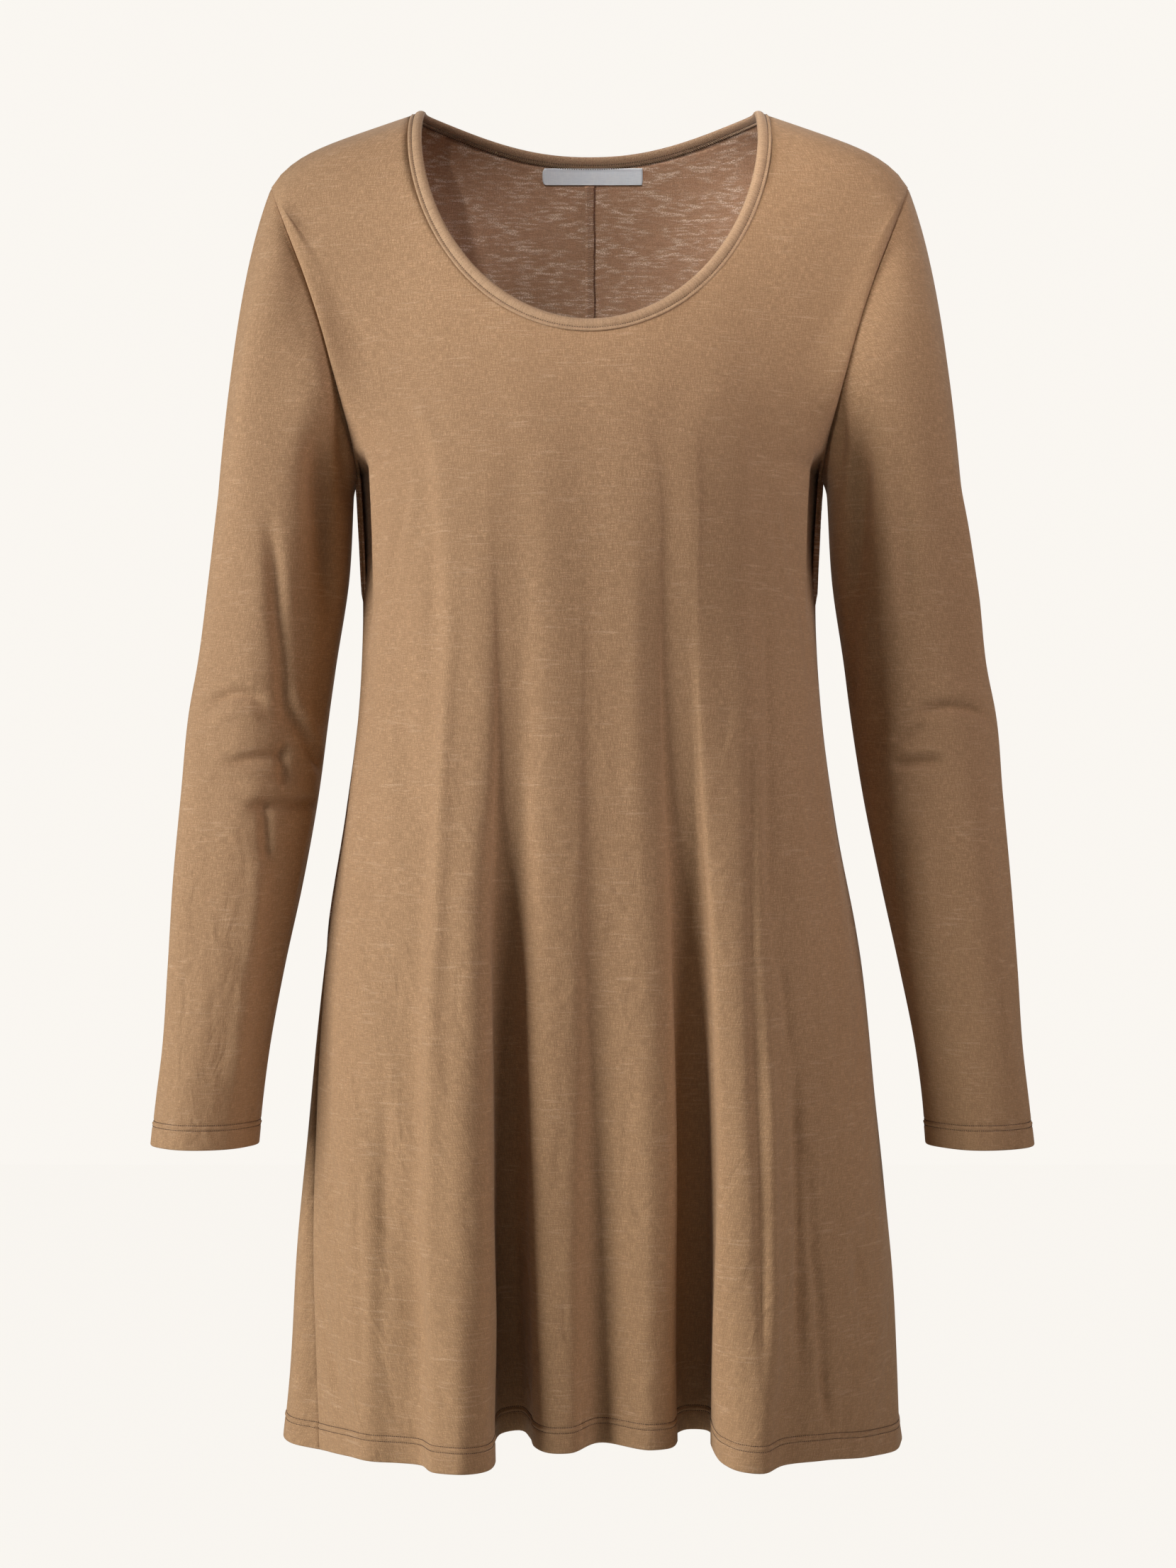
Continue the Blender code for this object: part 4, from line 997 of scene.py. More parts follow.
def tuck_sides(skin, nearest):
    """Push the cloth beside each underarm back, behind a sharp edge, as the sleeve holds it."""
    x, drop = seen_from_front(skin)
    inset = np.minimum(x - x.min(axis=1, keepdims=True), x.max(axis=1, keepdims=True) - x)
    top, low = TUCK_WIDTH
    width = top + (low - top) * ramp(drop, TUCK_START[1], TUCK_END[1])
    share = 1.0 - ramp(inset - width, 0.0, TUCK_EDGE)
    share = share * ramp(drop, *TUCK_START) * (1.0 - ramp(drop, *TUCK_END))
    tucked = skin.copy()
    tucked[..., 1] += TUCK_DEPTH * (share * ramp(nearest, 0.0, TUCK_CALM))
    return tucked


def ripple(u, v, seed):
    """Soft unevenness of hanging cloth, mostly in long upright waves."""
    rng = np.random.default_rng(seed)
    total = np.zeros_like(u)
    for _ in range(RIPPLE_WAVES):
        across = rng.uniform(*RIPPLE_ACROSS)
        down = rng.uniform(*RIPPLE_DOWN)
        wave = np.sin(across * u + down * v + rng.uniform(0.0, 2.0 * math.pi))
        total += wave * rng.uniform(*RIPPLE_SIZES)
    return RIPPLE * (total / RIPPLE_WAVES)


def hem_relief(above, hem):
    """How far the cloth stands out over a turned hem: two needle rows with a ridge between."""
    low, high = NEEDLE_ROWS[hem]

    def bell(middle):
        return np.exp(-((above - middle) / NEEDLE_WIDTH)**2)

    layer = HEM_SWELL * (1.0 - ramp(above, low, high))
    return layer - NEEDLE_DIP * (bell(low) + bell(high)) + NEEDLE_RIDGE * bell((low + high) / 2.0)


def hem_wall(above, depth):
    """Thickness of the cloth: two layers in a turned hem, closed round its folded edge."""
    return np.where(above < depth, HEM_WALL, WALL) - edge_round(above) * HEM_WALL


def edge_round(above):
    """Share of half the wall by which each skin draws in at the folded edge of a hem."""
    reach = np.clip(1.0 - above / HEM_EDGE_RADIUS, 0.0, 1.0)
    return EDGE_CLOSE * (1.0 - np.sqrt(1.0 - reach**2 * EDGE_LEAST))


def seam_dip(distance):
    """How far cloth rolls in towards a seam, at a distance from it."""
    return SEAM_DIP * np.clip(1.0 - distance / SEAM_ROLL, 0.0, 1.0)**2


def row_arcs(points, first_side):
    """Distance of each point from one end of its row."""
    steps = np.linalg.norm(np.diff(points, axis=1), axis=2)
    arcs = np.concatenate([np.zeros((len(points), 1)), np.cumsum(steps, axis=1)], axis=1)
    return arcs if first_side else arcs[:, -1:] - arcs


def cloth_map(points, centre):
    """Cloth coordinates of a panel in metres: level distance from a centre column, and drop."""
    arcs = row_arcs(points[..., :2], True)
    return np.stack([arcs - arcs[:, centre:centre + 1], -points[..., 2]], axis=-1)


def body_skins():
    """Grids of the three body panels: skins, normals, row drops and cloth coordinates."""
    drops = row_drops(UNDERARM_DROP, HEM_DROP, HEM_DEPTH, SIDE_ROWS)
    middle = int(np.searchsorted(FOLDS["back"]["bust_x"], CENTRE_BACK_X))
    spans = {
        "front_panel": ("front", 0, len(FOLDS["front"]["rise"]) - 1),
        "back_right": ("back", 0, middle),
        "back_left": ("back", middle, len(FOLDS["back"]["rise"]) - 1),
    }
    skins = {}
    for name, (face, first, last) in spans.items():
        along = panel_places(face, first, last)
        rows = panel_rows(face, SHOULDER_ROWS, ARMHOLE_ROWS, drops)
        skin = panel_skin(face, rows, panel_columns(face, along))
        forward = np.array([0.0, -1.0 if face == "front" else 1.0, 0.0])
        centre = int(np.argmin(np.abs(skin[-1, :, 0] - CENTRE_BACK_X)))
        skins[name] = {
            "face": face,
            "skin": skin,
            "normals": grid_normals(skin, forward),
            "above": np.maximum(HEM_DROP - rows["drop"], 0.0),
            "map": cloth_map(skin, centre),
        }
    return skins


def marry_body_seams(skins):
    """Give neighbouring panels the same normals along the seams that they share."""
    front = skins["front_panel"]["normals"]
    for name, column in (("back_right", 0), ("back_left", -1)):
        back = skins[name]["normals"]
        for rows in (slice(0, SHOULDER_ROWS + 1), slice(SHOULDER_ROWS + ARMHOLE_ROWS, None)):
            shared = marry(front[rows, column], back[rows, column])
            front[rows, column] = shared
            back[rows, column] = shared
    shared = marry(skins["back_right"]["normals"][:, -1], skins["back_left"]["normals"][:, 0])
    skins["back_right"]["normals"][:, -1] = shared
    skins["back_left"]["normals"][:, 0] = shared


def dress_panel(name, piece):
    """Work creases, ripples, the hem's relief and the rolled seams into a panel's skin."""
    skin, normals, front = piece["skin"], piece["normals"], piece["face"] == "front"
    nearest = np.minimum(row_arcs(skin, True), row_arcs(skin, False))
    x, drop = seen_from_front(skin) if front else (skin[..., 0], -skin[..., 2])
    u, v = piece["map"][..., 0], piece["map"][..., 1]
    lift = ripple(u, v, RIPPLE_SEEDS[name]) * ramp(v, *RIPPLE_START)
    lift = (lift - press_creases(x, drop, name)) * ramp(nearest, 0.0, SEAM_CALM)
    above = piece["above"][:, None]
    label = (1.0 - ramp(v, *LABEL_CALM)) * (np.abs(x - CENTRE_BACK_X) < LABEL_CALM_REACH)
    flat = 0.0 if front else label
    lift = lift + hem_relief(above, "hem") - edge_round(above) * HEM_WALL / 2.0
    lift = lift - seam_dip(nearest) * (1.0 - flat)
    piece["base"] = skin.copy()
    if front:
        skin = tuck_sides(calm_folds(skin, nearest), nearest)
        normals = grid_normals(skin, normals)
    piece["skin"] = skin + normals * lift[..., None]
    piece["inner"] = piece["skin"] - normals * hem_wall(above, HEM_DEPTH)[..., None]


def ring_of(skins, sign, key):
    """A panel grid's values round an armhole: tip, front, underarm, back, in that order."""
    tip = SHOULDER_ROWS
    low = SHOULDER_ROWS + ARMHOLE_ROWS
    column = -1 if sign > 0 else 0
    back = skins["back_left" if sign > 0 else "back_right"][key]
    front = skins["front_panel"][key]
    return np.concatenate([front[tip:low + 1, column], back[tip + 1:low, column][::-1]])


def sleeve_grid(ring, sign, drops):
    """Skin and normals of a sleeve: a cap from the armhole, then level rings down to the cuff."""
    angle = np.linspace(0.0, 2.0 * math.pi, len(ring), endpoint=False)
    bottom = sleeve_ring(SLEEVE_TOP_DROP, angle, sign)
    reach = np.linalg.norm(bottom - ring, axis=1, keepdims=True) * CAP_PULL
    leave = cap_direction(angle, sign) * reach
    arrive = unit(np.array([sign * SLEEVE_LEAN, 0.0, -1.0])) * reach
    shares = np.linspace(0.0, 1.0, CAP_ROWS + 1)**CAP_CROWD
    rows = [hermite(share, ring, leave, bottom, arrive) for share in shares]
    rows += [sleeve_ring(drop, angle, sign) for drop in drops]
    points = np.stack(rows)
    outward = points - points.mean(axis=1, keepdims=True)
    points = fold_sleeve(points, grid_normals(points, outward, True), angle)
    return points, grid_normals(points, outward, True)


def sleeve_map(points, down):
    """Cloth coordinates of a sleeve in metres, with one more column than it has points."""
    along = closed(down, 1)
    along = along - along[CAP_ROWS:CAP_ROWS + 1] + SLEEVE_TOP_DROP
    girth = row_arcs(closed(points, 1), True)[CAP_ROWS, -1]
    around = np.linspace(0.0, girth, along.shape[1])
    return np.stack([np.broadcast_to(around, along.shape), along], axis=-1)


def dress_sleeve(name, skins, sign):
    """A sleeve's skins, with its creases, ripples, turned cuff and rolled armhole seam."""
    cuff = SLEEVE["drop"][-1]
    drops = row_drops(SLEEVE_TOP_DROP, cuff, CUFF_HEM_DEPTH, SLEEVE_ROWS)
    skin, normals = sleeve_grid(ring_of(skins, sign, "base"), sign, drops)
    above = np.concatenate([np.full(CAP_ROWS + 1, FAR_ABOVE), cuff - drops])[:, None]
    from_seam = row_arcs(skin.swapaxes(0, 1), True).T
    cloth = sleeve_map(skin, from_seam)
    front = press_creases(*seen_from_front(skin), name) * ramp(-normals[..., 1], *FACING)
    behind = press_creases(skin[..., 0], -skin[..., 2], name + "_behind")
    press = front + behind * ramp(normals[..., 1], *FACING)
    u, v, girth = cloth[:, :-1, 0], cloth[:, :-1, 1], cloth[0, -1, 0]
    start, end = SLEEVE_WRAP
    wrap = ramp(u, 0.0, start * girth) * (1.0 - ramp(u, end * girth, girth))
    lift = ripple(u, v, RIPPLE_SEEDS[name]) * wrap
    lift = (lift - press) * ramp(from_seam, 0.0, SEAM_CALM)
    lift = lift + hem_relief(above, "cuff") - edge_round(above) * HEM_WALL / 2.0
    outer = skin + normals * (lift - seam_dip(from_seam))[..., None]
    outer[0] = ring_of(skins, sign, "skin")
    inner = outer - normals * hem_wall(above, CUFF_HEM_DEPTH)[..., None]
    return {"skin": outer, "inner": inner, "normals": normals, "map": cloth, "above": above[:, 0]}


def grid_quads(grid):
    """The quads between the rows and columns of a grid of indices."""
    quads = np.stack([grid[:-1, :-1], grid[1:, :-1], grid[1:, 1:], grid[:-1, 1:]], axis=-1)
    return quads.reshape(-1, 4)


def rim_quads(line, step, flip):
    """The quads between a line of indices and the same line a step further on."""
    quads = np.stack([line[:-1], line[1:], line[1:] + step, line[:-1] + step], axis=-1)
    return quads[:, ::-1] if flip else quads


def wall_faces(rows, columns, around_closed):
    """Quads of a wall: outer skin, inner skin, then rims, and each corner's place in the map."""
    index = np.arange(rows * columns).reshape(rows, columns)
    place = index
    if around_closed:
        index = closed(index, 1)
        place = np.arange(index.size).reshape(index.shape)
    rims = [(0, slice(None), False), (-1, slice(None), True)]
    if not around_closed:
        rims += [(slice(None), 0, True), (slice(None), -1, False)]
    count = rows * columns
    faces = [grid_quads(index), grid_quads(index)[:, ::-1] + count]
    places = [grid_quads(place), grid_quads(place)[:, ::-1]]
    for row, column, flip in rims:
        faces.append(rim_quads(index[row, column], count, flip))
        places.append(rim_quads(place[row, column], 0, flip))
    side = np.zeros(sum(len(part) for part in faces), dtype=int)
    side[len(faces[0]):2 * len(faces[0])] = 1
    return np.concatenate(faces), np.concatenate(places), side


def encloses(points, faces):
    """The volume that quads enclose, above 0 if they face outwards."""
    a, b, c, d = (points[faces[:, corner]] for corner in range(4))
    return np.sum(a * np.cross(b, c)) + np.sum(a * np.cross(c, d))


def mesh_object(name, points, faces, materials, side=None, uv=None):
    """A smooth-shaded mesh piece that rides on the root body, with its faces outwards."""
    if uv is not None and encloses(points, faces) < 0:
        faces, uv = faces[:, ::-1], uv[:, ::-1]
    mesh = bpy.data.meshes.new(name)
    mesh.from_pydata(points.tolist(), [], faces.tolist())
    if uv is not None:
        layer = mesh.uv_layers.new(name=CLOTH_UV)
        layer.uv.foreach_set("vector", uv.reshape(-1).astype(np.float32))
    if side is not None:
        mesh.polygons.foreach_set("material_index", side.astype(np.int32))
    mesh.shade_smooth()
    for material in materials:
        mesh.materials.append(material)
    piece = bpy.data.objects.new(name, mesh)
    bpy.context.scene.collection.objects.link(piece)
    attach(piece, "root")
    return piece


def wall_piece(name, outer, inner, cloth, materials, around_closed=False):
    """A cloth wall between two grids of points, with its cloth coordinates as a UV map."""
    points = np.concatenate([outer.reshape(-1, 3), inner.reshape(-1, 3)])
    faces, places, side = wall_faces(*outer.shape[:2], around_closed)
    return mesh_object(name, points, faces, materials, side, cloth.reshape(-1, 2)[places])


def resample(points, pitch):
    """Evenly spaced values along a path, read by distance. points may carry more columns."""
    along = arc_lengths(points[:, :3])
    at = np.linspace(0.0, along[-1], max(2, int(along[-1] / pitch)) + 1)
    return np.stack([np.interp(at, along, column) for column in points.T], axis=1)


def tube_mesh(name, paths, sides, material):
    """Round threads along paths. A path row is x y z, the direction out of the cloth, radius."""
    points, faces = [], []
    offset = 0
    turn = np.arange(sides) * 2.0 * math.pi / sides
    cos, sin = np.cos(turn)[None, :, None], np.sin(turn)[None, :, None]
    for path in paths:
        tangent = unit(np.gradient(path[:, :3], axis=0))
        across = unit(np.cross(tangent, path[:, 3:6]))
        up = np.cross(across, tangent)
        ring = across[:, None] * cos + up[:, None] * sin
        points.append((path[:, None, :3] + ring * path[:, 6, None, None]).reshape(-1, 3))
        grid = np.arange(len(path) * sides).reshape(len(path), sides) + offset
        faces.append(grid_quads(closed(grid, 1))[:, OTHER_WAY])
        offset += grid.size
    return mesh_object(name, np.concatenate(points), np.concatenate(faces), [material])


def stitch_paths(line, pitch, share, radius):
    """Short separate stitches along a line, whose rows are x y z and the direction out."""
    marks = resample(line, pitch)
    paths = []
    for start, stop in zip(marks[:-1], marks[1:]):
        middle = (start + stop) / 2.0
        half = (stop - start) * share / 2.0
        path = np.zeros((len(STITCH_SHAPE), 7))
        for index, (place, size) in enumerate(STITCH_SHAPE):
            row = middle + half * place
            path[index, :6] = row
            path[index, 6] = radius * size
            path[index, :3] -= row[3:6] * radius * (1.0 - size)
        paths.append(path)
    return paths


def line_at(piece, height, lift):
    """The line round a panel or sleeve at a height above its hem's edge."""
    above = piece["above"]
    order = np.argsort(above)
    flat = np.concatenate([piece["skin"], piece["normals"]], axis=-1)[order]
    row = np.searchsorted(above[order], height)
    share = (height - above[order][row - 1]) / (above[order][row] - above[order][row - 1])
    line = flat[row - 1] * (1.0 - share) + flat[row] * share
    line[:, :3] += line[:, 3:6] * lift
    return line


def neck_ring(skins):
    """Points, normals and inward directions all round the neck seam."""
    front, right, left = skins["front_panel"], skins["back_right"], skins["back_left"]

    def loop(key, row):
        back = [left[key][row, ::-1][1:], right[key][row, ::-1][1:-1]]
        return np.concatenate([front[key][row], *back])

    seam, below, normals = loop("base", 0), loop("base", 1), unit(loop("normals", 0))
    along = unit(np.roll(seam, -1, axis=0) - np.roll(seam, 1, axis=0))
    inward = unit(np.cross(along, normals))
    inward = inward * np.sign(np.sum(inward * (seam - below), axis=1, keepdims=True))
    even = resample(closed(np.concatenate([seam, normals, inward], axis=1)), NECK_PITCH)[:-1]
    for _ in range(NECK_SOFTEN):
        even = even * 0.5 + (np.roll(even, 1, axis=0) + np.roll(even, -1, axis=0)) * 0.25
    return {"seam": even[:, :3], "normals": unit(even[:, 3:6]), "inward": unit(even[:, 6:9])}


def build_binding(ring, material):
    """The bound edge: a lip over the seam, a stitched valley and a full roll inwards."""
    section = np.stack([BINDING_SECTION["reach"], BINDING_SECTION["lift"]], axis=-1)
    points = np.stack([
        ring["seam"] + ring["inward"] * reach + ring["normals"] * lift for reach, lift in section
    ])
    count, around = points.shape[:2]
    grid = closed(closed(np.arange(count * around).reshape(count, around)), 1)
    place = np.arange(grid.size).reshape(grid.shape)
    across, along = arc_lengths(closed(section)), arc_lengths(closed(ring["seam"]))
    cloth = np.stack(np.meshgrid(along, across), axis=-1).reshape(-1, 2)
    faces, places = (grid_quads(part)[:, OTHER_WAY] for part in (grid, place))
    flat = points.reshape(-1, 3)
    return mesh_object("neck_binding_roll", flat, faces, [material], uv=cloth[places])


def neck_line(ring, reach, lift):
    """A closed line beside the neck seam, with the direction out of the cloth."""
    points = ring["seam"] + ring["inward"] * reach + ring["normals"] * lift
    side = ring["normals"] if lift > 0 else -ring["normals"]
    return closed(np.concatenate([points, side], axis=1))


def build_label(material):
    """A bare woven label on the inside of the back, under the binding."""
    rows, columns = LABEL_GRID
    share, depth = np.meshgrid(np.linspace(0.0, 1.0, columns), np.linspace(0.0, 1.0, rows))
    corner = LABEL_CORNER * np.clip(np.abs(depth - 0.5) * 2.0, 0.0, 1.0)**4
    left = LABEL_LEFT + corner
    x = left + (LABEL_RIGHT - corner * LABEL_FAR_CORNER - left) * share
    drop = LABEL_TOP_DROP + LABEL_HEIGHT * depth
    surface, normal = back_inside(x, drop)
    far = surface - normal * (WALL + LABEL_GAP)
    fold = LABEL_FOLD * np.exp(-((depth - LABEL_FOLD_PLACE) / LABEL_FOLD_WIDTH)**2)
    edge = np.clip(1.0 - np.minimum(share, 1.0 - share) / LABEL_BORDER_WIDTH, 0.0, 1.0)
    thickness = LABEL_THICKNESS * (1.0 - LABEL_BORDER * edge) - fold
    near = far - normal * thickness[..., None]
    cloth = np.stack([x, drop], axis=-1)
    return wall_piece("neck_label_tape", near, far, cloth, [material, material])


def allowance_line(skins):
    """The centre-back seam inside the back: points, normals and directions across."""
    piece, other = skins["back_right"], skins["back_left"]
    top = LABEL_TOP_DROP + LABEL_HEIGHT + 2 * SEAM_GAP
    bottom = HEM_DROP - HEM_DEPTH - ALLOWANCE_END
    drops = -piece["base"][:, -1, 2]
    kept = np.flatnonzero((drops > top) & (drops < bottom))
    seam = (piece["base"][kept, -1] + other["base"][kept, 0]) / 2.0
    normal = marry(piece["normals"][kept, -1], other["normals"][kept, 0])
    across = other["base"][kept, LEVEL_COLUMNS] - piece["base"][kept, -1 - LEVEL_COLUMNS]
    start, start_normal = back_inside(np.array([CENTRE_BACK_X]), np.array([top]))
    across = unit(across)
    first = np.concatenate([start, start_normal, across[:1]], axis=1)
    rest = np.concatenate([seam, normal, across], axis=1)
    return resample(np.concatenate([first, rest]), OVERLOCK_STITCH)


def allowance_wall(line, waver):
    """Far and near skins of the trimmed allowance, which thins towards both edges."""
    seam, normal, across = line[:, :3], unit(line[:, 3:6]), unit(line[:, 6:9])
    far, near = [], []
    for step in ALLOWANCE_STEPS:
        offset = ALLOWANCE_LEFT - CENTRE_BACK_X + (ALLOWANCE_RIGHT - ALLOWANCE_LEFT) * step
        base = seam + across * (offset + waver * step)[:, None] - normal * ALLOWANCE_LIFT
        full = ALLOWANCE_EDGE + (1.0 - ALLOWANCE_EDGE) * math.sin(math.pi * step)**0.5
        far.append(base)
        near.append(base - normal * (ALLOWANCE_THICKNESS * full))
    return np.stack(far, axis=1), np.stack(near, axis=1)


def overlock_loop(index, near, edge, normal, across):
    """One loop of thread over the allowance and round its corded edge."""
    top, low = near[index], near[index + 1]
    over = [top[column] * share + low[column] * (1.0 - share) for column, share in OVERLOCK_OVER]
    edge_out, edge_under = (
        edge[index] * share + edge[index + 1] * (1.0 - share) for share in OVERLOCK_ROUND
    )
    route = np.stack([
        *over, edge_out + across[index] * OVERLOCK_OUT, edge_under + normal[index] * OVERLOCK_OUT
    ])
    route[:3] -= normal[index] * OVERLOCK_LIFT
    out = np.repeat(-normal[index:index + 1], len(route), axis=0)
    return np.concatenate([route, out, np.full((len(route), 1), OVERLOCK_RADIUS)], axis=1)


def build_allowance(line, looks):
    """The trimmed allowance strip, its corded edge and the overlock loops across it."""
    rng = np.random.default_rng(ALLOWANCE_SEED)
    count = len(line)
    draws = rng.normal(0.0, ALLOWANCE_WAVER, count + len(ALLOWANCE_EVEN) - 1)
    waver = np.convolve(draws, ALLOWANCE_EVEN, "valid")
    far, near = allowance_wall(line, waver)
    normal, across = unit(line[:, 3:6]), unit(line[:, 6:9])
    width = ALLOWANCE_RIGHT - ALLOWANCE_LEFT
    cloth = np.stack(np.meshgrid(ALLOWANCE_STEPS * width, arc_lengths(line[:, :3])), axis=-1)
    strip = wall_piece("back_seam_strip", near, far, cloth, [looks["inside"]] * 2)
    edge = near[:, -1] + normal * ALLOWANCE_THICKNESS * CORD_SINK
    twist = 1.0 + CORD_TWIST * np.cos(math.pi * np.arange(count))
    twist = twist + rng.normal(0.0, CORD_UNEVEN, count)
    cord = np.concatenate([edge, -normal, (CORD_RADIUS * twist)[:, None]], axis=1)
    loops = [overlock_loop(index, near, edge, normal, across) for index in range(count - 1)]
    threads = tube_mesh("back_seam_overlock", loops, THREAD_SIDES, looks["overlock"])
    return strip, [threads, tube_mesh("back_seam_cord", [cord], CORD_SIDES, looks["cord"])]


def socket(node, key, value):
    """Set one input of a node."""
    node.inputs[key].default_value = value


def new_material(name):
    """An empty Principled material, and its tree."""
    material = bpy.data.materials.new(name)
    material.use_nodes = True
    return material, material.node_tree, material.node_tree.nodes["Principled BSDF"]


def cloth_coordinates(tree):
    """The cloth coordinates, in metres."""
    source = tree.nodes.new("ShaderNodeUVMap")
    source.uv_map = CLOTH_UV
    return source.outputs["UV"]


def object_coordinates(tree):
    """The piece's own coordinates, in metres."""
    return tree.nodes.new("ShaderNodeTexCoord").outputs["Object"]


def noise(tree, vector, scale, detail=2.0, distortion=0.0):
    """Noise whose grain is stretched by a scale for each axis."""
    mapping = tree.nodes.new("ShaderNodeMapping")
    socket(mapping, "Scale", scale)
    tree.links.new(vector, mapping.inputs["Vector"])
    texture = tree.nodes.new("ShaderNodeTexNoise")
    socket(texture, "Scale", 1.0)
    socket(texture, "Detail", detail)
    socket(texture, "Distortion", distortion)
    tree.links.new(mapping.outputs["Vector"], texture.inputs["Vector"])
    return texture.outputs["Fac"]


def grain(tree, vector, name):
    """One of the named noises of the cloths."""
    return noise(tree, vector, *GRAIN[name])


def remap(tree, value, low, high, to_low=0.0, to_high=1.0):
    """A value spread from one range to another, with soft ends."""
    node = tree.nodes.new("ShaderNodeMapRange")
    node.interpolation_type = "SMOOTHSTEP"
    for key, limit in (("From Min", low), ("From Max", high), ("To Min", to_low), ("To Max", to_high)):
        socket(node, key, limit)
    tree.links.new(value, node.inputs["Value"])
    return node.outputs["Result"]


def blend_colors(tree, share, first, second):
    """One colour or colour output changing to another by a share."""
    node = tree.nodes.new("ShaderNodeMix")
    node.data_type = "RGBA"
    tree.links.new(share, node.inputs[0])
    for place, color in ((6, first), (7, second)):
        if isinstance(color, tuple):
            node.inputs[place].default_value = (*color, 1.0)
        else:
            tree.links.new(color, node.inputs[place])
    return node.outputs[2]


def product(tree, first, second):
    """Two values multiplied."""
    node = tree.nodes.new("ShaderNodeMath")
    node.operation = "MULTIPLY"
    tree.links.new(first, node.inputs[0])
    tree.links.new(second, node.inputs[1])
    return node.outputs[0]


def bump(tree, shader, values, sizes):
    """Stack height layers on the shader's normal, each with its distance and strength."""
    normal = None
    for value, (distance, strength) in zip(values, sizes):
        node = tree.nodes.new("ShaderNodeBump")
        socket(node, "Distance", distance)
        socket(node, "Strength", strength)
        tree.links.new(value, node.inputs["Height"])
        if normal is not None:
            tree.links.new(normal, node.inputs["Normal"])
        normal = node.outputs["Normal"]
    tree.links.new(normal, shader.inputs["Normal"])


def dress_shader(tree, shader, color, sockets):
    """Link a shader's colour and set its other sockets by their names."""
    tree.links.new(color, shader.inputs["Base Color"])
    for key, value in sockets.items():
        socket(shader, key, value)


def down_cloth(tree, cloth):
    """The second cloth coordinate: the drop of a panel, the way across a binding."""
    parts = tree.nodes.new("ShaderNodeSeparateXYZ")
    tree.links.new(cloth, parts.inputs["Vector"])
    return parts.outputs["Y"]


def jersey(name, colors, slub, roughness, sheen):
    """Slub jersey: upright wales, uneven yarn that thickens across, and a soft nap."""
    material, tree, shader = new_material(name)
    cloth = cloth_coordinates(tree)
    drop = down_cloth(tree, cloth)
    wale, weft, heather = (grain(tree, cloth, key) for key in ("wale", "weft", "heather"))
    rumple = product(tree, grain(tree, cloth, "rumple"), remap(tree, drop, *RUMPLE_RANGE))
    yarn = noise(tree, cloth, slub["thin"], *YARN_GRAIN)
    patch = noise(tree, cloth, slub["patch"], *PATCH_GRAIN)
    tone = remap(tree, grain(tree, cloth, "tone"), 0.30, 0.70)
    color = blend_colors(tree, tone, colors["shade"], colors["base"])
    color = blend_colors(tree, remap(tree, drop, *LOW_TONE), color, colors["low"])
    for value, low, key in ((wale, 0.38, "wale"), (weft, 0.38, "weft"), (heather, 0.40, "heather")):
        color = blend_colors(tree, remap(tree, value, low, 0.62, 0.0, slub[key]), color, colors["dark"])
    thick, among = remap(tree, yarn, *slub["thin_range"]), remap(tree, patch, *slub["patch_range"])
    speck = product(
        tree, product(tree, thick, among), remap(tree, heather, 0.58, 0.40, slub["speck"], 1.0)
    )
    color = blend_colors(tree, speck, color, colors["slub"])
    dress_shader(tree, shader, color, {"Roughness": roughness, "Sheen Weight": sheen, **JERSEY_NAP})
    bump(tree, shader, (rumple, wale, weft, heather), JERSEY_BUMPS)
    return material


def band_jersey(name, colors):
    """The binding's cloth: the same yarn pulled tight, browner, and ribbed on its inner half, where a
    darker brown is painted shade of the turn under the roll.
    """
    material, tree, shader = new_material(name)
    cloth = cloth_coordinates(tree)
    inner = remap(tree, down_cloth(tree, cloth), *BAND_TURN)
    keys = ("band_wale", "band_rib", "band_heather", "band_pull")
    wale, rib, heather, pull = (grain(tree, cloth, key) for key in keys)
    # painted shade: the binding's inner half turns a darker brown
    color = blend_colors(tree, inner, colors["base"], colors["inner"])
    color = blend_colors(tree, remap(tree, wale, 0.38, 0.62, 0.0, 0.45), color, colors["dark"])
    ribbed = product(tree, inner, remap(tree, rib, 0.40, 0.60, 0.0, 0.55))
    color = blend_colors(tree, ribbed, color, colors["dark"])
    color = blend_colors(tree, remap(tree, heather, 0.40, 0.62, 0.0, 0.45), color, colors["slub"])
    dress_shader(tree, shader, color, BAND_NAP)
    bump(tree, shader, (wale, product(tree, inner, rib), pull, heather), BAND_BUMPS)
    return material


def thread_material(name, color, dark):
    """Spun sewing thread with a fine twist."""
    material, tree, shader = new_material(name)
    twist = grain(tree, object_coordinates(tree), "twist")
    spun = blend_colors(tree, remap(tree, twist, 0.3, 0.7), dark, color)
    dress_shader(tree, shader, spun, {"Roughness": 0.60, "Sheen Weight": 0.15})
    bump(tree, shader, (twist,), THREAD_BUMPS)
    return material


def tape_material(name, base, dark, light):
    """Woven label tape: fine ribs across and a satin face."""
    material, tree, shader = new_material(name)
    cloth = cloth_coordinates(tree)
    rib, warp, tone = (grain(tree, cloth, key) for key in ("tape_rib", "tape_warp", "tape_tone"))
    color = blend_colors(tree, remap(tree, rib, 0.25, 0.75, 0.0, 0.6), base, dark)
    color = blend_colors(tree, remap(tree, warp, 0.45, 0.8, 0.0, 0.5), color, light)
    color = blend_colors(tree, remap(tree, tone, 0.40, 0.70, 0.0, 0.25), color, light)
    dress_shader(tree, shader, color, {"Roughness": 0.48, "Specular IOR Level": 0.45})
    bump(tree, shader, (rib, warp), TAPE_BUMPS)
    return material


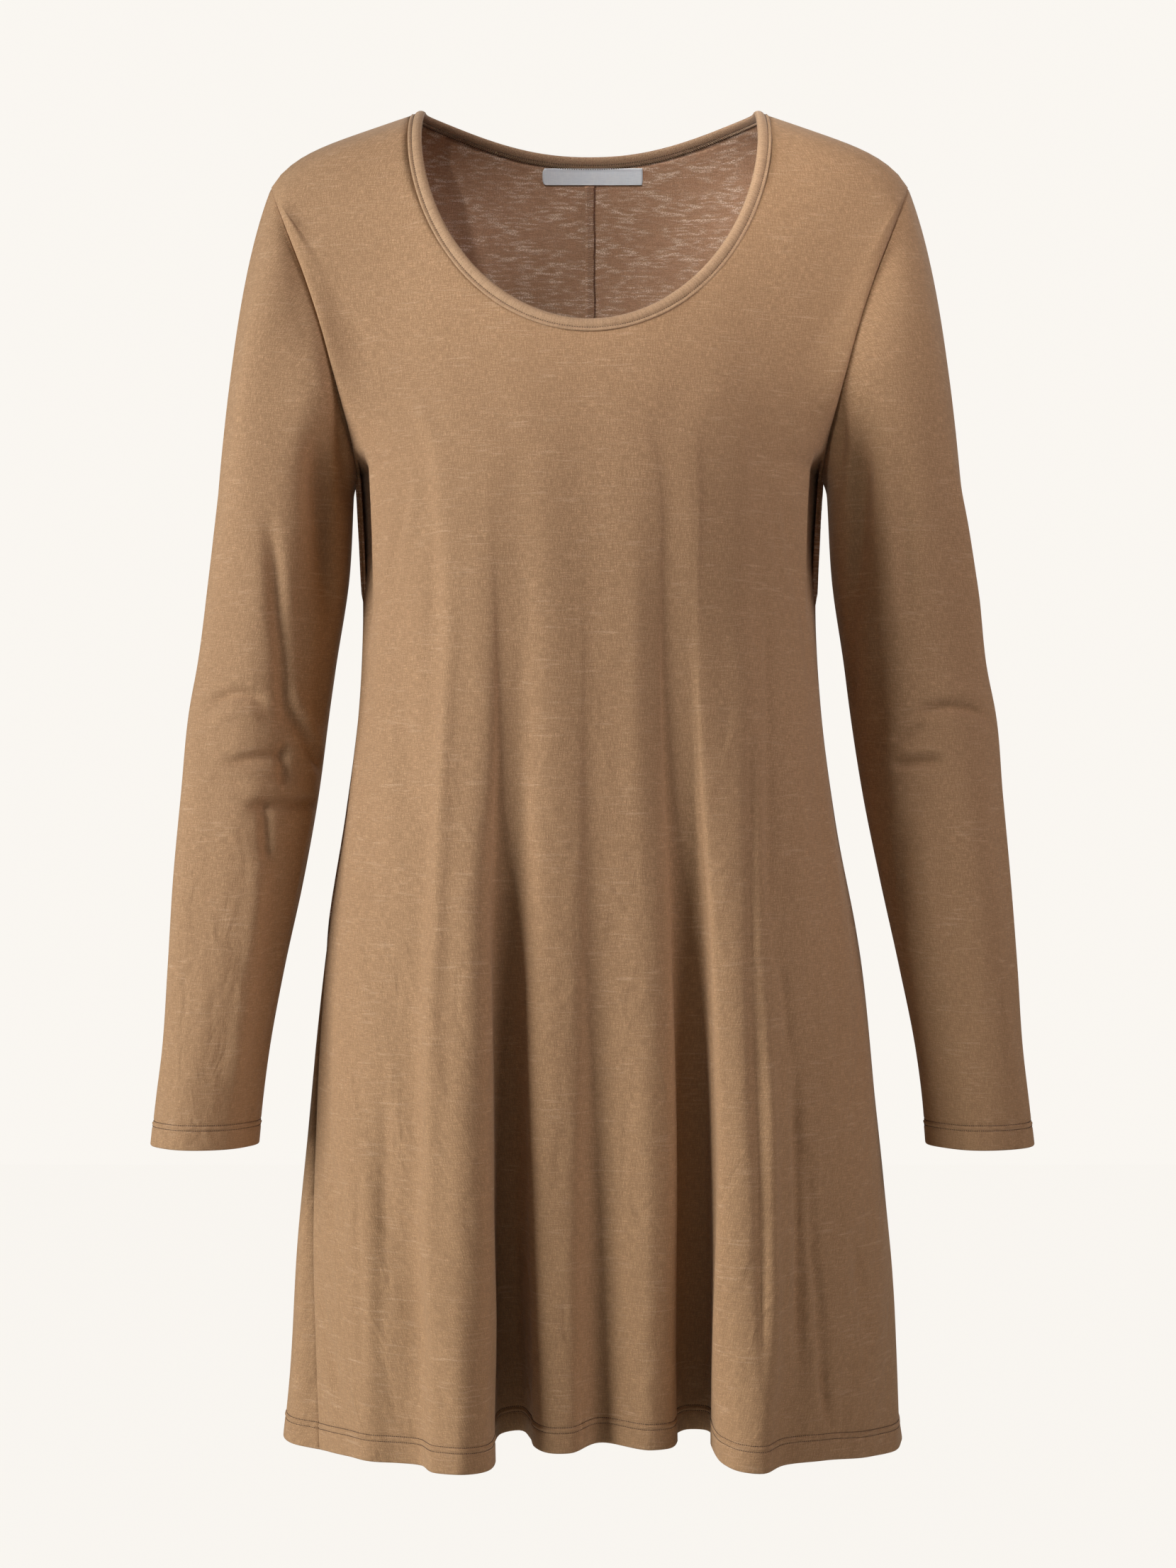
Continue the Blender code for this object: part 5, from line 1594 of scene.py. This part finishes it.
def make_materials():
    """Every material of the tunic, by name."""
    return {
        "outside": jersey("tan_slub_jersey_face", OUTSIDE, FACE_SLUB, 0.84, 0.22),
        "inside": jersey("tan_slub_jersey_inside", INSIDE, BACK_SLUB, 0.90, 0.12),
        "band": band_jersey("tan_binding_cloth", BAND),
        # painted shade: this thread is dark to stand for the shade in its needle holes
        "thread_and_hole_shade": thread_material("thread_and_hole_shade", (0.120, 0.064, 0.030), (0.080, 0.042, 0.020)),
        # partly painted shade: the topstitching's own thread, darkened to carry the shade of the crease
        # beside the binding
        "band_thread_and_crease_shade": thread_material("band_thread_and_crease_shade", (0.140, 0.076, 0.036), (0.090, 0.048, 0.022)),
        "braid": thread_material("braid_thread", (0.620, 0.420, 0.270), (0.420, 0.270, 0.165)),
        "cord": thread_material("cord_thread", (0.230, 0.098, 0.055), (0.110, 0.046, 0.026)),
        "overlock": thread_material("overlock_thread", (0.330, 0.185, 0.115), (0.200, 0.105, 0.062)),
        "tape": tape_material("pale_label_tape", (0.86, 0.92, 0.99), (0.74, 0.80, 0.88), (0.93, 0.97, 1.0)),
    }


def build_cloth(skins, looks):
    """The five cut pieces of jersey."""
    pieces = {}
    both = [looks["outside"], looks["inside"]]
    for name, piece in skins.items():
        dress_panel(name, piece)
        pieces[name] = wall_piece(name + "_cloth", piece["skin"], piece["inner"], piece["map"], both)
    sleeves = {}
    for name, sign in (("sleeve_right", -1), ("sleeve_left", 1)):
        sleeve = dress_sleeve(name, skins, sign)
        sleeves[name] = sleeve
        pieces[name] = wall_piece(
            name + "_cloth", sleeve["skin"], sleeve["inner"], sleeve["map"], both, around_closed=True
        )
    return pieces, sleeves


def build_stitches(skins, sleeves, looks):
    """Twin needle rows round the hem and both cuffs."""
    made = {}
    for name, piece in {**skins, **sleeves}.items():
        rows = NEEDLE_ROWS["cuff" if name in sleeves else "hem"]
        paths = []
        for height in rows:
            line = line_at(piece, height, THREAD_RADIUS * THREAD_SINK)
            if name in sleeves:
                line = closed(line)
            paths += stitch_paths(line, HEM_STITCH, STITCH_SHARE, THREAD_RADIUS)
        # the stitches are dark with the painted shade of their needle holes
        made[name] = tube_mesh(name + "_hem_stitches", paths, THREAD_SIDES, looks["thread_and_hole_shade"])
    return made


def braid_path(ring):
    """A thread that swings from side to side along the inside of the neck."""
    marks = resample(neck_line(ring, *BRAID_LINE), BAND_STITCH / 2.0)
    centre, out = marks[:, :3], marks[:, 3:6]
    side = unit(np.cross(unit(np.gradient(centre, axis=0)), out))
    swing = np.where(np.arange(len(marks)) % 2 == 0, BRAID_SWING, -BRAID_SWING)[:, None]
    return np.concatenate([centre + side * swing, out, np.full((len(marks), 1), BRAID_RADIUS)], axis=1)


def build_neck_stitches(ring, looks):
    """Topstitching in the binding's valley, and the coverstitch inside the neck."""
    top = stitch_paths(neck_line(ring, *TOP_ROW), BAND_STITCH, STITCH_SHARE, THREAD_RADIUS)
    needles = []
    for place in NEEDLE_LINES:
        line = neck_line(ring, *place)
        needles += stitch_paths(line, BAND_STITCH, NEEDLE_SHARE, THREAD_RADIUS * NEEDLE_THICK)
    rows = (
        # topstitching partly dark with painted shade of the crease beside the binding
        ("neck_topstitching", top, "band_thread_and_crease_shade"),
        # needle stitches dark with the painted shade of their holes
        ("neck_inside_stitching", needles, "thread_and_hole_shade"),
        ("neck_inside_braid", [braid_path(ring)], "braid"),
    )
    return [tube_mesh(name, paths, THREAD_SIDES, looks[look]) for name, paths, look in rows]


def declare(pieces):
    """Hide the imported solids that the rebuilt pieces stand in for."""
    for name, piece in pieces.items():
        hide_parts(name)
    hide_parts("neck_binding")
    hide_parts("neck_label")
    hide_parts("back_seam_allowance")


def area_light(name, place, aim, size, power, color, spread=180.0):
    """A soft rectangular light."""
    data = bpy.data.lights.new(name, "AREA")
    data.shape = "RECTANGLE"
    data.size = size[0]
    data.size_y = size[1]
    data.energy = power
    data.color = color
    data.spread = math.radians(spread)
    light = bpy.data.objects.new(name, data)
    light.location = place
    direction = Vector(aim) - Vector(place)
    light.rotation_euler = direction.to_track_quat("-Z", "Y").to_euler()
    bpy.context.scene.collection.objects.link(light)


def show_camera(tree, share, plain, shown, output):
    """Give the camera's own rays one shader and all others the plain one."""
    mix = tree.nodes.new("ShaderNodeMixShader")
    for place, source in enumerate((share, plain.outputs[0], shown.outputs[0])):
        tree.links.new(source, mix.inputs[place])
    tree.links.new(mix.outputs[0], tree.nodes[output].inputs["Surface"])


def camera_rays(tree):
    """1 on rays that come straight from the camera."""
    return tree.nodes.new("ShaderNodeLightPath").outputs["Is Camera Ray"]


def build_world():
    """Cream behind everything, with a softer even light on the cloth."""
    world = bpy.data.worlds.new("studio")
    bpy.context.scene.world = world
    world.use_nodes = True
    tree = world.node_tree
    shown, ambient = tree.nodes["Background"], tree.nodes.new("ShaderNodeBackground")
    for node, color, strength in (
        (shown, CREAM, 1.0),
        (ambient, AMBIENT_COLOR, AMBIENT_STRENGTH),
    ):
        socket(node, "Color", (*color, 1.0))
        socket(node, "Strength", strength)
    show_camera(tree, camera_rays(tree), ambient, shown, "World Output")


def floor_paper():
    """Pale paper that the camera sees as the cream of the background."""
    material, tree, shader = new_material("studio_floor_paper")
    tone = remap(tree, grain(tree, object_coordinates(tree), "paper"), 0.3, 0.7)
    color = blend_colors(tree, tone, *FLOOR_PAPER)
    dress_shader(tree, shader, color, {"Roughness": 0.95, "Specular IOR Level": 0.1})
    glow = tree.nodes.new("ShaderNodeEmission")
    socket(glow, "Color", (*CREAM, 1.0))
    share = tree.nodes.new("ShaderNodeMath")
    share.operation = "MULTIPLY"
    socket(share, 1, FLOOR_GLOW)
    tree.links.new(camera_rays(tree), share.inputs[0])
    show_camera(tree, share.outputs[0], shader, glow, "Material Output")
    return material


def build_floor():
    """A plain pale floor, well below the hem."""
    mesh = bpy.data.meshes.new("studio_floor")
    side = FLOOR_HALF
    corners = [(-side, -side, 0.0), (side, -side, 0.0), (side, side, 0.0), (-side, side, 0.0)]
    mesh.from_pydata(corners, [], [(0, 1, 2, 3)])
    floor = bpy.data.objects.new("studio_floor", mesh)
    floor.location = (0.0, 0.0, -FLOOR_DROP)
    bpy.context.scene.collection.objects.link(floor)
    mesh.materials.append(floor_paper())


def build_stage():
    """Camera, studio light, ground and background."""
    build_world()
    build_floor()
    for name, light in LIGHTS.items():
        area_light(name, **light)
    data = bpy.data.cameras.new("camera")
    data.lens = CAMERA_LENS
    data.sensor_width = CAMERA_SENSOR
    data.clip_end = CAMERA_REACH
    camera = bpy.data.objects.new("camera", data)
    camera.location = (CAMERA_X, -CAMERA_DISTANCE, -CAMERA_DROP)
    camera.rotation_euler = (math.pi / 2.0, 0.0, 0.0)
    bpy.context.scene.collection.objects.link(camera)
    bpy.context.scene.camera = camera
    bpy.context.scene.view_settings.view_transform = "Standard"


def main():
    """Build the stage and the tunic."""
    build_stage()
    looks = make_materials()
    skins = body_skins()
    marry_body_seams(skins)
    pieces, sleeves = build_cloth(skins, looks)
    stitches = build_stitches(skins, sleeves, looks)
    ring = neck_ring(skins)
    binding = build_binding(ring, looks["band"])
    neck = build_neck_stitches(ring, looks)
    label = build_label(looks["tape"])
    strip, threads = build_allowance(allowance_line(skins), looks)
    declare(pieces)


main()
